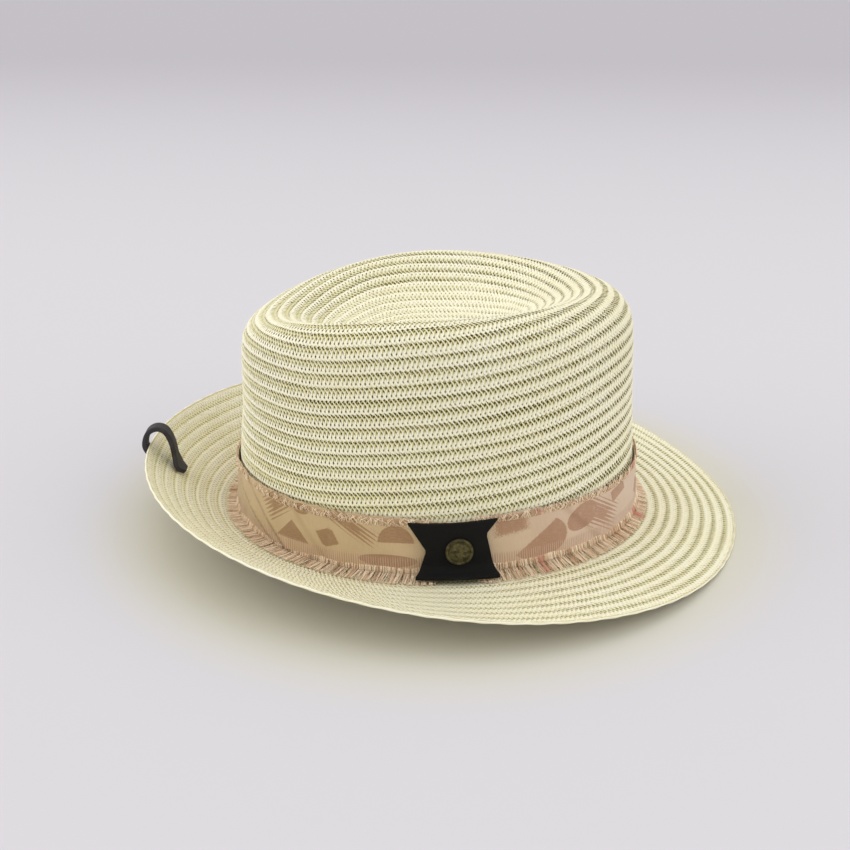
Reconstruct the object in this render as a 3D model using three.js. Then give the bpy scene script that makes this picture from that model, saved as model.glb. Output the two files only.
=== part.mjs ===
// Trilby of sewn straw braid, millimetres, +Z up, wearer's front towards -Y, wearer's right towards -X.
// It stands on the front edge of its brim and on the fold at the back of its headline.
import * as THREE from "three";

// Headline oval at the middle of the straw, for a head of about 58 cm
const HALF_LENGTH = 102;
const HALF_WIDTH = 86;

// Straw braid
const ROW_PITCH = 6.2;
const ROW_HIGH = 1.1;
const ROW_LOW = 0.5;
const ROW_STEP = 0.4;
const LINING_SIDE = 0.7;
const TIP_ROWS = 15;
const RIBBED_ROWS = 25;
const HIDDEN_ROWS = 3;
const SEGMENTS = 42;
const SEAM_GAP = 0.3;

// Inside, every row is kept only where the crown turns over its lip, and every second one elsewhere
const INSIDE_TURN = { from: 6, to: 17 };

// How the hat leans back where it stands
const LEAN = 0.0522;

// Crown sections from the middle of the tip to the headline: inset from the oval and height above the
// level from which all heights count, at the side, the front and the back, and how much the front
// quarter is drawn in towards a nose
const CROWN_SECTIONS = [
  { name: "centre", side: [86, 83], front: [81, 83.5], back: [93, 82], nose: 0 },
  { name: "floor", side: [70, 84], front: [69, 85.5], back: [79, 82.5], nose: 0.03 },
  { name: "floor edge", side: [52, 88], front: [54, 91], back: [64, 85.5], nose: 0.12 },
  { name: "slope", side: [39.8, 96.5], front: [38.7, 97.7], back: [47.8, 90], nose: 0.2 },
  { name: "lip", side: [27.6, 105.5], front: [22.5, 102.5], back: [32.5, 95.5], nose: 0.22 },
  { name: "crest", side: [19.6, 107], front: [12.5, 102], back: [20.5, 95.5], nose: 0.2 },
  { name: "crest outside", side: [13.2, 101], front: [4.8, 95.5], back: [12.8, 90], nose: 0.15 },
  { name: "wall top", side: [8.6, 86.5], front: [1.4, 84.7], back: [9.8, 79], nose: 0.09 },
  { name: "wall", side: [4, 57], front: [1.2, 55], back: [8, 56], nose: 0.03 },
  { name: "band top", side: [1.5, 28], front: [0.8, 20], back: [3.8, 27], nose: 0 },
  { name: "headline", side: [0, -7], front: [0, -10], back: [0, -4], nose: 0 },
];
const SECTION_STEPS = 8;
const NOSE_POWER = 1.5;

// Brim: its width along the straw at the back and its share of that at the side and the front, and
// the height of its edge
const BRIM_WIDTH = 56;
const BRIM_SHARE = { side: 1.08, front: 0.92, back: 1 };
const BRIM_ROWS = 8;
const EDGE_HEIGHT = { side: 10.6, front: -20, back: 30.6 };
const FRONT_ARCH = 2.6;
const FRONT_ARCH_ANGLE = 0.34;
const BRIM_CURL = 0.5;
const BRIM_STEPS = 12;
const BRIM_TOP = 0.8;
const BRIM_UNDER = 0.7;
const BRIM_RIB = 0.5;
const BRIM_START = -0.9;
const CROWN_FOOT = 1.5;

// Band of woven cloth round the foot of the crown, and its combed lower fringe
const BAND = { foot: 4.4, top: 28, gap: 1.5, thickness: 1.1, segments: 72 };
const BAND_LEVELS = [
  { name: "foot", share: 0, body: 0.8 },
  { name: "over foot", share: 0.12, body: 1 },
  { name: "middle", share: 0.5, body: 1 },
  { name: "under top", share: 0.88, body: 1 },
  { name: "top", share: 1, body: 0.8 },
];
const BAND_FOLDS = [
  { name: "back fold", angle: 3.72, lean: 0.012, width: 0.045, rise: 0.55 },
  { name: "second fold", angle: 3.92, lean: 0.012, width: 0.05, rise: 0.45 },
  { name: "third fold", angle: 4.2, lean: -0.008, width: 0.05, rise: 0.3 },
  { name: "front fold", angle: 5.55, lean: -0.01, width: 0.05, rise: 0.35 },
  { name: "far fold", angle: 1.2, lean: 0.01, width: 0.05, rise: 0.4 },
];
const FRINGE = { locks: 50, long: 9.3, short: 6, clearance: 0.35, thickness: 0.7, tips: 0.6, head: 1.3 };

// Leather tab over the seam of the band: where its middle line runs, on the brim or up the wall
const TAB = { angle: 4.89, clearance: 0.4, thickness: 1.8, sections: 10 };
const TAB_LINE = [
  { name: "foot", on: "brim", at: 11.3, lift: 0 },
  { name: "toe", on: "brim", at: 7.6, lift: 0.9 },
  { name: "bend", on: "wall", at: 7.5, lift: 0.7 },
  { name: "shin", on: "wall", at: 13, lift: 0.2 },
  { name: "chest", on: "wall", at: 20, lift: 0 },
  { name: "top", on: "wall", at: 28.8, lift: 0 },
];
const TAB_WIDTHS = [
  { name: "foot", at: 0, half: 17.5 },
  { name: "waist low", at: 0.42, half: 14.2 },
  { name: "waist", at: 0.68, half: 13.4 },
  { name: "shoulder", at: 0.86, half: 16.2 },
  { name: "top", at: 1, half: 20 },
];

// Press stud on the tab: radius and height of its cap, and its profile in shares of them
const STUD = { radius: 6.4, height: 2.4, seat: 0.5, along: 0.5, sides: 20 };
const STUD_PROFILE = [
  { name: "middle of the base", out: 0, up: 0 },
  { name: "base", out: 0.86, up: 0 },
  { name: "skirt", out: 1, up: 0.3 },
  { name: "rim outside", out: 0.95, up: 0.8 },
  { name: "rim top", out: 0.8, up: 0.92 },
  { name: "rim inside", out: 0.72, up: 0.72 },
  { name: "dome", out: 0.4, up: 0.9 },
  { name: "middle", out: 0, up: 1 },
];

// Keeper loop of flat leather cord over the back edge of the brim: its route from the end under the
// brim, by distance past the edge and height over the strap's seat below, between or above the straw
const LOOP = { angle: 3.3, width: 4.8, thickness: 1.6, clearance: 0.4, chamfer: 0.82, steps: 26 };
const LOOP_LINE = [
  { name: "lower end", out: -14, seat: "below", up: 0 },
  { name: "below", out: -7, seat: "below", up: 0 },
  { name: "past the edge", out: 1.5, seat: "below", up: -0.6 },
  { name: "belly", out: 6, seat: "between", up: 0.4 },
  { name: "outermost", out: 8.6, seat: "between", up: 5.4 },
  { name: "top", out: 7.6, seat: "between", up: 10.8 },
  { name: "crown", out: 3, seat: "above", up: 11 },
  { name: "inner shoulder", out: -2.4, seat: "above", up: 9.6 },
  { name: "inner limb", out: -6.6, seat: "above", up: 5.6 },
  { name: "landing", out: -10, seat: "above", up: 1.8 },
  { name: "upper limb", out: -15, seat: "above", up: 0 },
  { name: "upper end", out: -20.5, seat: "above", up: 0 },
];
const LOZENGE = { at: 0.88, spread: 0.06, growth: 0.5, tip: 0.97, tipShare: 0.72 };

// Colours and gloss of the pieces
const FINISHES = {
  straw: { color: 0xe6e0c6, roughness: 0.75, metalness: 0 },
  cloth: { color: 0xc4ad90, roughness: 0.9, metalness: 0 },
  yarn: { color: 0xc9ae94, roughness: 0.95, metalness: 0 },
  leather: { color: 0x121314, roughness: 0.55, metalness: 0 },
  cord: { color: 0x3a393c, roughness: 0.6, metalness: 0 },
  stud: { color: 0x4a4634, roughness: 0.4, metalness: 1 },
};

// Weights of side, front and back at an angle round the oval, counted from the front over the wearer's left.
function weights(angle) {
  const c = Math.cos(angle);
  return { side: 1 - c * c, front: c > 0 ? c * c : 0, back: c < 0 ? c * c : 0 };
}

function mixed(table, angle) {
  const w = weights(angle);
  return table.side * w.side + table.front * w.front + table.back * w.back;
}

// One meridian of the crown as points and running lengths from the middle of the tip.
function meridian(angle) {
  const w = weights(angle);
  const c = Math.cos(angle);
  const stations = CROWN_SECTIONS.map((s) => new THREE.Vector3(
    s.side[0] * w.side + s.front[0] * w.front + s.back[0] * w.back,
    s.side[1] * w.side + s.front[1] * w.front + s.back[1] * w.back,
    s.nose,
  ));
  const fine = throughStations(stations);
  const points = fine.map((p) => new THREE.Vector3(
    (HALF_WIDTH - p.x) * Math.sin(angle) * (1 - p.z * Math.max(0, c) ** NOSE_POWER),
    -(HALF_LENGTH - p.x) * c,
    p.y,
  ));
  const lengths = [0];
  for (let i = 1; i < points.length; i++) {
    lengths.push(lengths[i - 1] + points[i].distanceTo(points[i - 1]));
  }
  return { points, lengths, total: lengths[lengths.length - 1] };
}

// Smooth curve through a list of stations.
function throughStations(stations) {
  const last = stations.length - 1;
  const slope = (i) => {
    const from = stations[Math.max(0, i - 1)];
    const to = stations[Math.min(last, i + 1)];
    const span = i === 0 || i === last ? 1 : 2;
    return to.clone().sub(from).divideScalar(span);
  };
  const fine = [];
  for (let i = 0; i < last; i++) {
    const [p, q, mp, mq] = [stations[i], stations[i + 1], slope(i), slope(i + 1)];
    for (let k = 0; k < SECTION_STEPS; k++) {
      const u = k / SECTION_STEPS;
      const point = p.clone().multiplyScalar(2 * u ** 3 - 3 * u ** 2 + 1);
      point.addScaledVector(mp, u ** 3 - 2 * u ** 2 + u);
      point.addScaledVector(q, 3 * u ** 2 - 2 * u ** 3);
      point.addScaledVector(mq, u ** 3 - u ** 2);
      fine.push(point);
    }
  }
  fine.push(stations[last].clone());
  return fine;
}

const meridians = new Map();

function meridianAt(angle) {
  const key = angle.toFixed(6);
  if (!meridians.has(key)) {
    meridians.set(key, meridian(angle));
  }
  return meridians.get(key);
}

// Point of the crown at an angle and a distance along the straw from the middle of the tip.
function crownPoint(angle, distance) {
  const { points, lengths, total } = meridianAt(angle);
  const d = Math.min(Math.max(distance, 0), total);
  let i = 1;
  while (i < lengths.length - 1 && lengths[i] < d) {
    i += 1;
  }
  const u = (d - lengths[i - 1]) / (lengths[i] - lengths[i - 1]);
  const point = points[i - 1].clone().lerp(points[i], u);
  if (distance > total) {
    const run = points[i].clone().sub(points[i - 1]).normalize();
    point.addScaledVector(run, distance - total);
  }
  return point;
}

// Outward normal of the headline oval, level.
function ovalNormal(angle) {
  return new THREE.Vector2(Math.sin(angle) / HALF_WIDTH, -Math.cos(angle) / HALF_LENGTH).normalize();
}

function headlineHeight(angle) {
  const foot = CROWN_SECTIONS[CROWN_SECTIONS.length - 1];
  return mixed({ side: foot.side[1], front: foot.front[1], back: foot.back[1] }, angle);
}

// Point of the brim at an angle and a distance from the headline, as far as it is at the back; the
// straw curls from fold to edge.
function brimPoint(angle, distance) {
  const c = Math.cos(angle);
  const swing = (EDGE_HEIGHT.back - EDGE_HEIGHT.front) / 2;
  const bow = (EDGE_HEIGHT.back + EDGE_HEIGHT.front) / 2 - EDGE_HEIGHT.side;
  const turn = Math.abs(Math.atan2(Math.sin(angle), c));
  const arch = FRONT_ARCH * Math.exp(-((turn / FRONT_ARCH_ANGLE) ** 2));
  const edge = EDGE_HEIGHT.side - swing * c + bow * c * c + arch;
  const start = headlineHeight(angle);
  const share = mixed(BRIM_SHARE, angle);
  const chord = Math.asin((edge - start) / (BRIM_WIDTH * share));
  let out = 0;
  let up = start;
  for (let k = 0; k < BRIM_STEPS; k++) {
    const way = ((k + 0.5) / BRIM_STEPS) * (distance / BRIM_WIDTH);
    const tilt = chord * (1 - BRIM_CURL + 2 * BRIM_CURL * way);
    out += Math.cos(tilt) * distance * share / BRIM_STEPS;
    up += Math.sin(tilt) * distance * share / BRIM_STEPS;
  }
  const normal = ovalNormal(angle);
  return new THREE.Vector3(
    HALF_WIDTH * Math.sin(angle) + normal.x * out,
    -HALF_LENGTH * c + normal.y * out,
    up,
  );
}

// Outward or upward normal of a surface given as a function of angle and distance.
function surfaceNormal(surface, angle, distance) {
  const turn = 0.01;
  const run = 0.5;
  const across = surface(angle + turn, distance).sub(surface(angle - turn, distance));
  const along = surface(angle, distance + run).sub(surface(angle, distance - run));
  return along.cross(across).normalize();
}

// Ring of points round a surface, each lifted off it by an amount.
function ring(surface, distance, lift, segments = SEGMENTS) {
  const points = [];
  for (let k = 0; k < segments; k++) {
    const angle = (k / segments) * 2 * Math.PI;
    const d = typeof distance === "function" ? distance(angle) : distance;
    const raised = typeof lift === "function" ? lift(angle) : lift;
    points.push(surface(angle, d).addScaledVector(surfaceNormal(surface, angle, d), raised));
  }
  return points;
}

// Closed solid from a run of rings: capped by a fan at each end, or joined last ring to first.
function loft(rings, capped) {
  const n = rings[0].length;
  const points = rings.flat();
  const faces = [];
  const runs = capped ? rings.length - 1 : rings.length;
  for (let r = 0; r < runs; r++) {
    const here = r * n;
    const next = ((r + 1) % rings.length) * n;
    for (let k = 0; k < n; k++) {
      const l = (k + 1) % n;
      faces.push([here + k, here + l, next + l], [here + k, next + l, next + k]);
    }
  }
  if (capped) {
    fan(points, faces, rings[0], 0, true);
    fan(points, faces, rings[rings.length - 1], (rings.length - 1) * n, false);
  }
  return solid(points, faces);
}

function fan(points, faces, ringPoints, start, flip) {
  const middle = new THREE.Vector3();
  ringPoints.forEach((p) => middle.addScaledVector(p, 1 / ringPoints.length));
  const hub = points.length;
  points.push(middle);
  for (let k = 0; k < ringPoints.length; k++) {
    const l = (k + 1) % ringPoints.length;
    faces.push(flip ? [hub, start + l, start + k] : [hub, start + k, start + l]);
  }
}

// Indexed geometry whose faces point outwards.
function solid(points, faces) {
  let volume = 0;
  for (const [a, b, c] of faces) {
    volume += points[a].dot(points[b].clone().cross(points[c])) / 6;
  }
  const order = volume > 0 ? faces : faces.map(([a, b, c]) => [a, c, b]);
  const geometry = new THREE.BufferGeometry();
  geometry.setAttribute("position", new THREE.Float32BufferAttribute(points.flatMap((p) => p.toArray()), 3));
  geometry.setIndex(order.flat());
  geometry.computeVertexNormals();
  return geometry;
}

// Outer rings of rows of braid that lap like shingles, from one row to another.
function shingles(first, last) {
  const rings = [];
  for (let row = first; row <= last; row++) {
    rings.push(ring(crownPoint, row * ROW_PITCH - ROW_STEP, ROW_HIGH));
    rings.push(ring(crownPoint, row * ROW_PITCH + ROW_STEP, ROW_LOW));
  }
  return rings;
}

// Inner rings of the same rows, from the last row back to the first.
function lining(first, last) {
  const turns = (row) => row >= INSIDE_TURN.from && row <= INSIDE_TURN.to;
  const rings = [];
  for (let row = last; row >= first; row -= turns(row) ? 1 : 2) {
    rings.push(ring(crownPoint, row * ROW_PITCH, -LINING_SIDE));
  }
  return rings;
}

// Tip of the crown: the dent, the lip and the crest, down to the edge of the row that laps over the wall.
function crownTip() {
  const edge = TIP_ROWS * ROW_PITCH - ROW_STEP;
  const outside = [...shingles(1, TIP_ROWS - 1), ring(crownPoint, edge, ROW_HIGH)];
  const inside = [ring(crownPoint, edge, -LINING_SIDE), ...lining(1, TIP_ROWS - 1)];
  return loft([...outside, ...inside], true);
}

// Wall of the crown: rows of braid down to the band, then plain to its foot.
function crownWall() {
  const start = TIP_ROWS * ROW_PITCH - ROW_STEP + SEAM_GAP;
  const foot = (angle) => meridianAt(angle).total - CROWN_FOOT;
  const lastRib = RIBBED_ROWS * ROW_PITCH;
  const hidden = (part) => (angle) => lastRib + (foot(angle) - lastRib) * part;
  const outside = [ring(crownPoint, start, ROW_LOW), ...shingles(TIP_ROWS + 1, RIBBED_ROWS)];
  const inside = [...lining(TIP_ROWS + 1, RIBBED_ROWS), ring(crownPoint, start, -LINING_SIDE)];
  for (let row = 1; row <= HIDDEN_ROWS; row++) {
    outside.push(ring(crownPoint, hidden(row / HIDDEN_ROWS), ROW_LOW));
    inside.unshift(ring(crownPoint, hidden(row / HIDDEN_ROWS), -LINING_SIDE));
  }
  return loft([...outside, ...inside], false);
}

// Brim: rows of braid from under the foot of the crown out to the edge.
function brim() {
  const pitch = BRIM_WIDTH / BRIM_ROWS;
  const rings = [ring(brimPoint, BRIM_START, BRIM_TOP)];
  for (let row = 1; row <= BRIM_ROWS; row++) {
    const edge = row * pitch;
    rings.push(ring(brimPoint, edge - ROW_STEP, BRIM_TOP + BRIM_RIB));
    if (row < BRIM_ROWS) {
      rings.push(ring(brimPoint, edge + ROW_STEP, BRIM_TOP));
    }
  }
  rings.push(ring(brimPoint, BRIM_WIDTH, 0));
  for (let row = BRIM_ROWS; row >= 1; row--) {
    rings.push(ring(brimPoint, row === BRIM_ROWS ? BRIM_WIDTH - ROW_STEP : row * pitch, -BRIM_UNDER));
  }
  rings.push(ring(brimPoint, BRIM_START, -BRIM_UNDER));
  return loft(rings, false);
}

// Height up the crown's wall from its foot, as a surface for what is wrapped round it.
function wallPoint(angle, height) {
  return crownPoint(angle, meridianAt(angle).total - height);
}

// Outward normal of the wall: heights run up it, so its turn is the other way round.
function wallNormal(angle, height) {
  return surfaceNormal(wallPoint, angle, height).negate();
}

// Ring of points round the wall at a height, each lifted outwards by an amount that may vary.
function wallRing(height, lift) {
  const points = [];
  for (let k = 0; k < BAND.segments; k++) {
    const angle = (k / BAND.segments) * 2 * Math.PI;
    points.push(wallPoint(angle, height).addScaledVector(wallNormal(angle, height), lift(angle)));
  }
  return points;
}

function foldRise(angle, height) {
  let rise = 0;
  for (const fold of BAND_FOLDS) {
    const off = angle - fold.angle - fold.lean * (height - BAND.top / 2);
    rise += fold.rise * Math.exp(-((off / fold.width) ** 2));
  }
  return rise;
}

// Band of cloth: thin wall round the foot of the crown with a few pressed folds.
function hatBand() {
  const height = (share) => BAND.foot + (BAND.top - BAND.foot) * share;
  const outside = BAND_LEVELS.map(({ share, body }) => wallRing(
    height(share),
    (angle) => BAND.gap + BAND.thickness * body + foldRise(angle, height(share)),
  ));
  const inside = [1, 0.5, 0].map((share) => wallRing(height(share), () => BAND.gap));
  return loft([...outside, ...inside], false);
}

// Combed fringe: locks in a ring, hanging from a head under the band and lying on the brim.
function bandFringe() {
  const segments = FRINGE.locks * 2;
  const reach = (angle) => {
    const lock = Math.round((angle / (2 * Math.PI)) * segments);
    return lock % 2 ? FRINGE.short : FRINGE.long;
  };
  const base = BRIM_TOP + BRIM_RIB + FRINGE.clearance;
  const head = ROW_LOW + FRINGE.head;
  const mid = (angle) => (head + reach(angle)) / 2;
  return loft([
    ring(brimPoint, head, base, segments),
    ring(brimPoint, mid, base, segments),
    ring(brimPoint, reach, base, segments),
    ring(brimPoint, reach, base + FRINGE.thickness * FRINGE.tips, segments),
    ring(brimPoint, mid, base + FRINGE.thickness, segments),
    ring(brimPoint, head, base + FRINGE.thickness, segments),
  ], false);
}

// Half width of the tab at a share of its height.
function tabHalf(part) {
  let i = 1;
  while (i < TAB_WIDTHS.length - 1 && TAB_WIDTHS[i].at < part) {
    i += 1;
  }
  const [low, high] = [TAB_WIDTHS[i - 1], TAB_WIDTHS[i]];
  return THREE.MathUtils.mapLinear(part, low.at, high.at, low.half, high.half);
}

// Line of the tab's middle at one meridian: from the brim over the fringe, then up over the band.
function tabSpine(angle) {
  const seat = TAB.clearance + TAB.thickness / 2;
  const overBand = BAND.gap + BAND.thickness + seat;
  const overFringe = BRIM_TOP + BRIM_RIB + FRINGE.clearance + FRINGE.thickness + seat;
  const points = TAB_LINE.map(({ on, at, lift }) => {
    if (on === "wall") {
      return wallPoint(angle, at).addScaledVector(wallNormal(angle, at), overBand + lift);
    }
    return brimPoint(angle, at).addScaledVector(surfaceNormal(brimPoint, angle, at), overFringe + lift);
  });
  return new THREE.CatmullRomCurve3(points, false, "centripetal");
}

// Point of the tab at a share of its height, a distance to its side and a lift off its middle.
function tabPoint(part, across, lift) {
  const spine = tabSpine(TAB.angle + across / HALF_LENGTH);
  const along = spine.getTangentAt(part);
  const side = new THREE.Vector3(Math.cos(TAB.angle), Math.sin(TAB.angle), 0);
  const out = along.cross(side).normalize();
  if (out.x > 0) {
    out.negate();
  }
  return spine.getPointAt(part).addScaledVector(out, lift);
}

// Leather tab in the outline of a bow, lying over the band.
function tab() {
  const sections = [];
  for (let i = 0; i < TAB.sections; i++) {
    const part = i / (TAB.sections - 1);
    const half = tabHalf(part);
    const shares = [-1, -0.5, 0, 0.5, 1];
    const face = shares.map((s) => tabPoint(part, s * half, TAB.thickness / 2));
    const back = shares.map((s) => tabPoint(part, s * half, -TAB.thickness / 2)).reverse();
    sections.push([...face, ...back]);
  }
  return loft(sections, true);
}

// Press stud: a low domed cap with a rolled rim, standing on the face of the tab.
function stud() {
  const profile = STUD_PROFILE.map(({ out, up }) => new THREE.Vector2(out * STUD.radius, up * STUD.height));
  return new THREE.LatheGeometry(profile, STUD.sides);
}

// Sets the stud square on the tab, by points a little above, below and beside its middle.
function placeStud(mesh) {
  const lift = TAB.thickness / 2 + STUD.seat;
  const [share, reach] = [0.1, 4];
  const up = tabPoint(STUD.along + share, 0, lift).sub(tabPoint(STUD.along - share, 0, lift)).normalize();
  const side = tabPoint(STUD.along, reach, lift).sub(tabPoint(STUD.along, -reach, lift)).normalize();
  const out = side.cross(up).normalize();
  if (out.x > 0) {
    out.negate();
  }
  mesh.position.copy(tabPoint(STUD.along, 0, lift));
  mesh.quaternion.setFromUnitVectors(new THREE.Vector3(0, 1, 0), out);
}

// Route of the keeper loop in the plane of one meridian: under the brim, round its edge and back on top.
function loopRoute() {
  const seat = LOOP.clearance + LOOP.thickness / 2;
  const below = -(BRIM_UNDER + seat);
  const above = BRIM_TOP + BRIM_RIB + seat;
  const seats = { below, between: (below + above) / 2, above };
  const points = LOOP_LINE.map(({ out, seat: level, up }) => {
    const distance = BRIM_WIDTH + out;
    const normal = surfaceNormal(brimPoint, LOOP.angle, distance);
    return brimPoint(LOOP.angle, distance).addScaledVector(normal, seats[level] + up);
  });
  return new THREE.CatmullRomCurve3(points, false, "centripetal");
}

// Half width of the loop's strap along its route: a broad lozenge at the end that lies on the brim.
function loopHalf(part) {
  const lozenge = Math.exp(-(((part - LOZENGE.at) / LOZENGE.spread) ** 2));
  const tip = part > LOZENGE.tip ? LOZENGE.tipShare : 1;
  return (LOOP.width / 2) * (1 + LOZENGE.growth * lozenge) * tip;
}

// Keeper loop: one strap of six-sided section with chamfered edges.
function brimLoop() {
  const route = loopRoute();
  const side = new THREE.Vector3(Math.cos(LOOP.angle), Math.sin(LOOP.angle), 0);
  const sections = [];
  for (let i = 0; i <= LOOP.steps; i++) {
    const part = i / LOOP.steps;
    const centre = route.getPointAt(part);
    const thick = route.getTangentAt(part).cross(side).normalize().multiplyScalar(LOOP.thickness / 2);
    const wide = side.clone().multiplyScalar(loopHalf(part));
    const corner = (a, b) => centre.clone().addScaledVector(wide, a).addScaledVector(thick, b);
    const c = LOOP.chamfer;
    sections.push([corner(-1, 0), corner(-c, 1), corner(c, 1), corner(1, 0), corner(c, -1), corner(-c, -1)]);
  }
  return loft(sections, true);
}

function piece(name, geometry, finish) {
  const material = new THREE.MeshStandardMaterial(finish);
  const mesh = new THREE.Mesh(geometry, material);
  mesh.name = name;
  return mesh;
}

// The whole hat, leant back and set down so that its box stands on the middle of its base.
function trilby() {
  const hat = new THREE.Group();
  hat.add(piece("crown_tip", crownTip(), FINISHES.straw));
  hat.add(piece("crown_wall", crownWall(), FINISHES.straw));
  hat.add(piece("brim", brim(), FINISHES.straw));
  hat.add(piece("hat_band", hatBand(), FINISHES.cloth));
  hat.add(piece("band_fringe", bandFringe(), FINISHES.yarn));
  hat.add(piece("band_tab", tab(), FINISHES.leather));
  const cap = piece("snap_cap", stud(), FINISHES.stud);
  placeStud(cap);
  hat.add(cap);
  hat.add(piece("brim_loop", brimLoop(), FINISHES.cord));
  hat.rotation.x = -LEAN;
  hat.updateMatrixWorld(true);
  const box = new THREE.Box3().setFromObject(hat, true);
  hat.position.set(-(box.min.x + box.max.x) / 2, -(box.min.y + box.max.y) / 2, -box.min.z);
  const part = new THREE.Group();
  part.add(hat);
  part.updateMatrixWorld(true);
  return part;
}

export default trilby();
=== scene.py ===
"""Trilby of sewn paper straw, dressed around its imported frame.

Metres and +Z up in the scene, millimetres inside the form. The wearer's front is towards -Y and the
wearer's right towards -X, where the tab sits and the camera stands.
"""
import logging
import math
from dataclasses import dataclass, field
from enum import Enum
from typing import NamedTuple, Union

import bpy
import numpy as np
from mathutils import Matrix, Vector


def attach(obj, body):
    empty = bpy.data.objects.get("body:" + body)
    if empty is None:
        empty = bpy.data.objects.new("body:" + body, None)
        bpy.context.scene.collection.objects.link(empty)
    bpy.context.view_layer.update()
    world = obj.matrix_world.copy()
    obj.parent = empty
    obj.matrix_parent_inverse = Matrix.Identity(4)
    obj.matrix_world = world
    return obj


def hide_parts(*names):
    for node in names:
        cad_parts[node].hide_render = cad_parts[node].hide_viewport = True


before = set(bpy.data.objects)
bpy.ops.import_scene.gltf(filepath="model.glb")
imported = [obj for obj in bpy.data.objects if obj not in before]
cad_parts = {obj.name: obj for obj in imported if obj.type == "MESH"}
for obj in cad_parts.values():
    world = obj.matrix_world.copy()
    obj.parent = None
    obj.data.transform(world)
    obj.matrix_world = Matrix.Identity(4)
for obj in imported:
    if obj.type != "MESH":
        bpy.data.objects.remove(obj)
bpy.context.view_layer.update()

MM = 0.001
TURN = 2 * math.pi
BODY = "root"
LOG = logging.getLogger("trilby")


class Section(NamedTuple):
    """Station of the crown: inset from the headline oval and height over it, and the draw to the nose."""

    name: str
    side: tuple[float, float]
    front: tuple[float, float]
    back: tuple[float, float]
    nose: float


CROWN_SECTIONS = (
    Section("centre", (86, 83), (81, 83.5), (93, 82), 0),
    Section("floor", (70, 84), (69, 85.5), (79, 82.5), 0.03),
    Section("floor edge", (52, 88), (54, 91), (64, 85.5), 0.12),
    Section("slope", (39.8, 96.5), (38.7, 97.7), (47.8, 90), 0.2),
    Section("lip", (27.6, 105.5), (22.5, 102.5), (32.5, 95.5), 0.22),
    Section("crest", (19.6, 107), (12.5, 102), (20.5, 95.5), 0.2),
    Section("crest outside", (13.2, 101), (4.8, 95.5), (12.8, 90), 0.15),
    Section("wall top", (8.6, 86.5), (1.4, 84.7), (9.8, 79), 0.09),
    Section("wall", (4, 57), (1.2, 55), (8, 56), 0.03),
    Section("band top", (1.5, 28), (0.8, 20), (3.8, 27), 0),
    Section("headline", (0, -7), (0, -10), (0, -4), 0),
)


def through_stations(stations: np.ndarray, steps: int) -> np.ndarray:
    """Smooth curve through a list of stations.

    Args:
        stations: one row for each station.
        steps: points from one station to the next.

    Returns:
        The rows of the smooth curve, both ends among them.
    """
    slopes = np.empty_like(stations)
    slopes[1:-1] = (stations[2:] - stations[:-2]) / 2
    slopes[0] = stations[1] - stations[0]
    slopes[-1] = stations[-1] - stations[-2]
    u = (np.arange(steps) / steps)[:, None]
    rows = []
    for p, q, slope_p, slope_q in zip(stations[:-1], stations[1:], slopes[:-1], slopes[1:]):
        start = (2 * u**3 - 3 * u**2 + 1) * p + (u**3 - 2 * u**2 + u) * slope_p
        rows.append(start + (3 * u**2 - 2 * u**3) * q + (u**3 - u**2) * slope_q)
    return np.vstack([*rows, stations[-1:]])


def unit(vectors: np.ndarray) -> np.ndarray:
    """Vectors brought to length one."""
    return vectors / np.maximum(np.linalg.norm(vectors, axis=-1, keepdims=True), 1e-9)


def run_along(points: np.ndarray) -> np.ndarray:
    """Length of a line from its start to each of its points."""
    return np.concatenate([[0], np.cumsum(np.linalg.norm(np.diff(points, axis=0), axis=1))])


def evenly(points: np.ndarray, count: int) -> np.ndarray:
    """Points at even lengths along a line.

    Args:
        points: the line's points, one row each.
        count: how many points are wanted.

    Returns:
        The even points, both ends among them.
    """
    run = run_along(points)
    wanted = np.linspace(0, run[-1], count)
    return np.stack([np.interp(wanted, run, column) for column in points.T], -1)


def between(grid: np.ndarray, row: np.ndarray, column: np.ndarray) -> np.ndarray:
    """Values of a grid between its entries.

    Args:
        grid: rows and columns of points or vectors.
        row: row of each wanted value, a fraction between two rows.
        column: column of each wanted value, a fraction between two columns.

    Returns:
        One value for each row and column.
    """
    i, j = row.astype(int), column.astype(int)
    u, v = (row - i)[:, None], (column - j)[:, None]
    k = np.minimum(i + 1, len(grid) - 1)
    low = grid[i, j] * (1 - u) + grid[k, j] * u
    high = grid[i, j + 1] * (1 - u) + grid[k, j + 1] * u
    return low * (1 - v) + high * v


def ripple(angle: np.ndarray, waves: tuple[tuple[float, float, float], ...]) -> np.ndarray:
    """Sum of waves round the hat, each given by its height, its number a radian and its start."""
    return sum(height * np.sin(angle * number + start) for height, number, start in waves)


class Ground(Enum):
    """The surfaces that trimmings lie on."""

    WALL = "wall"
    BRIM = "brim"


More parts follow.
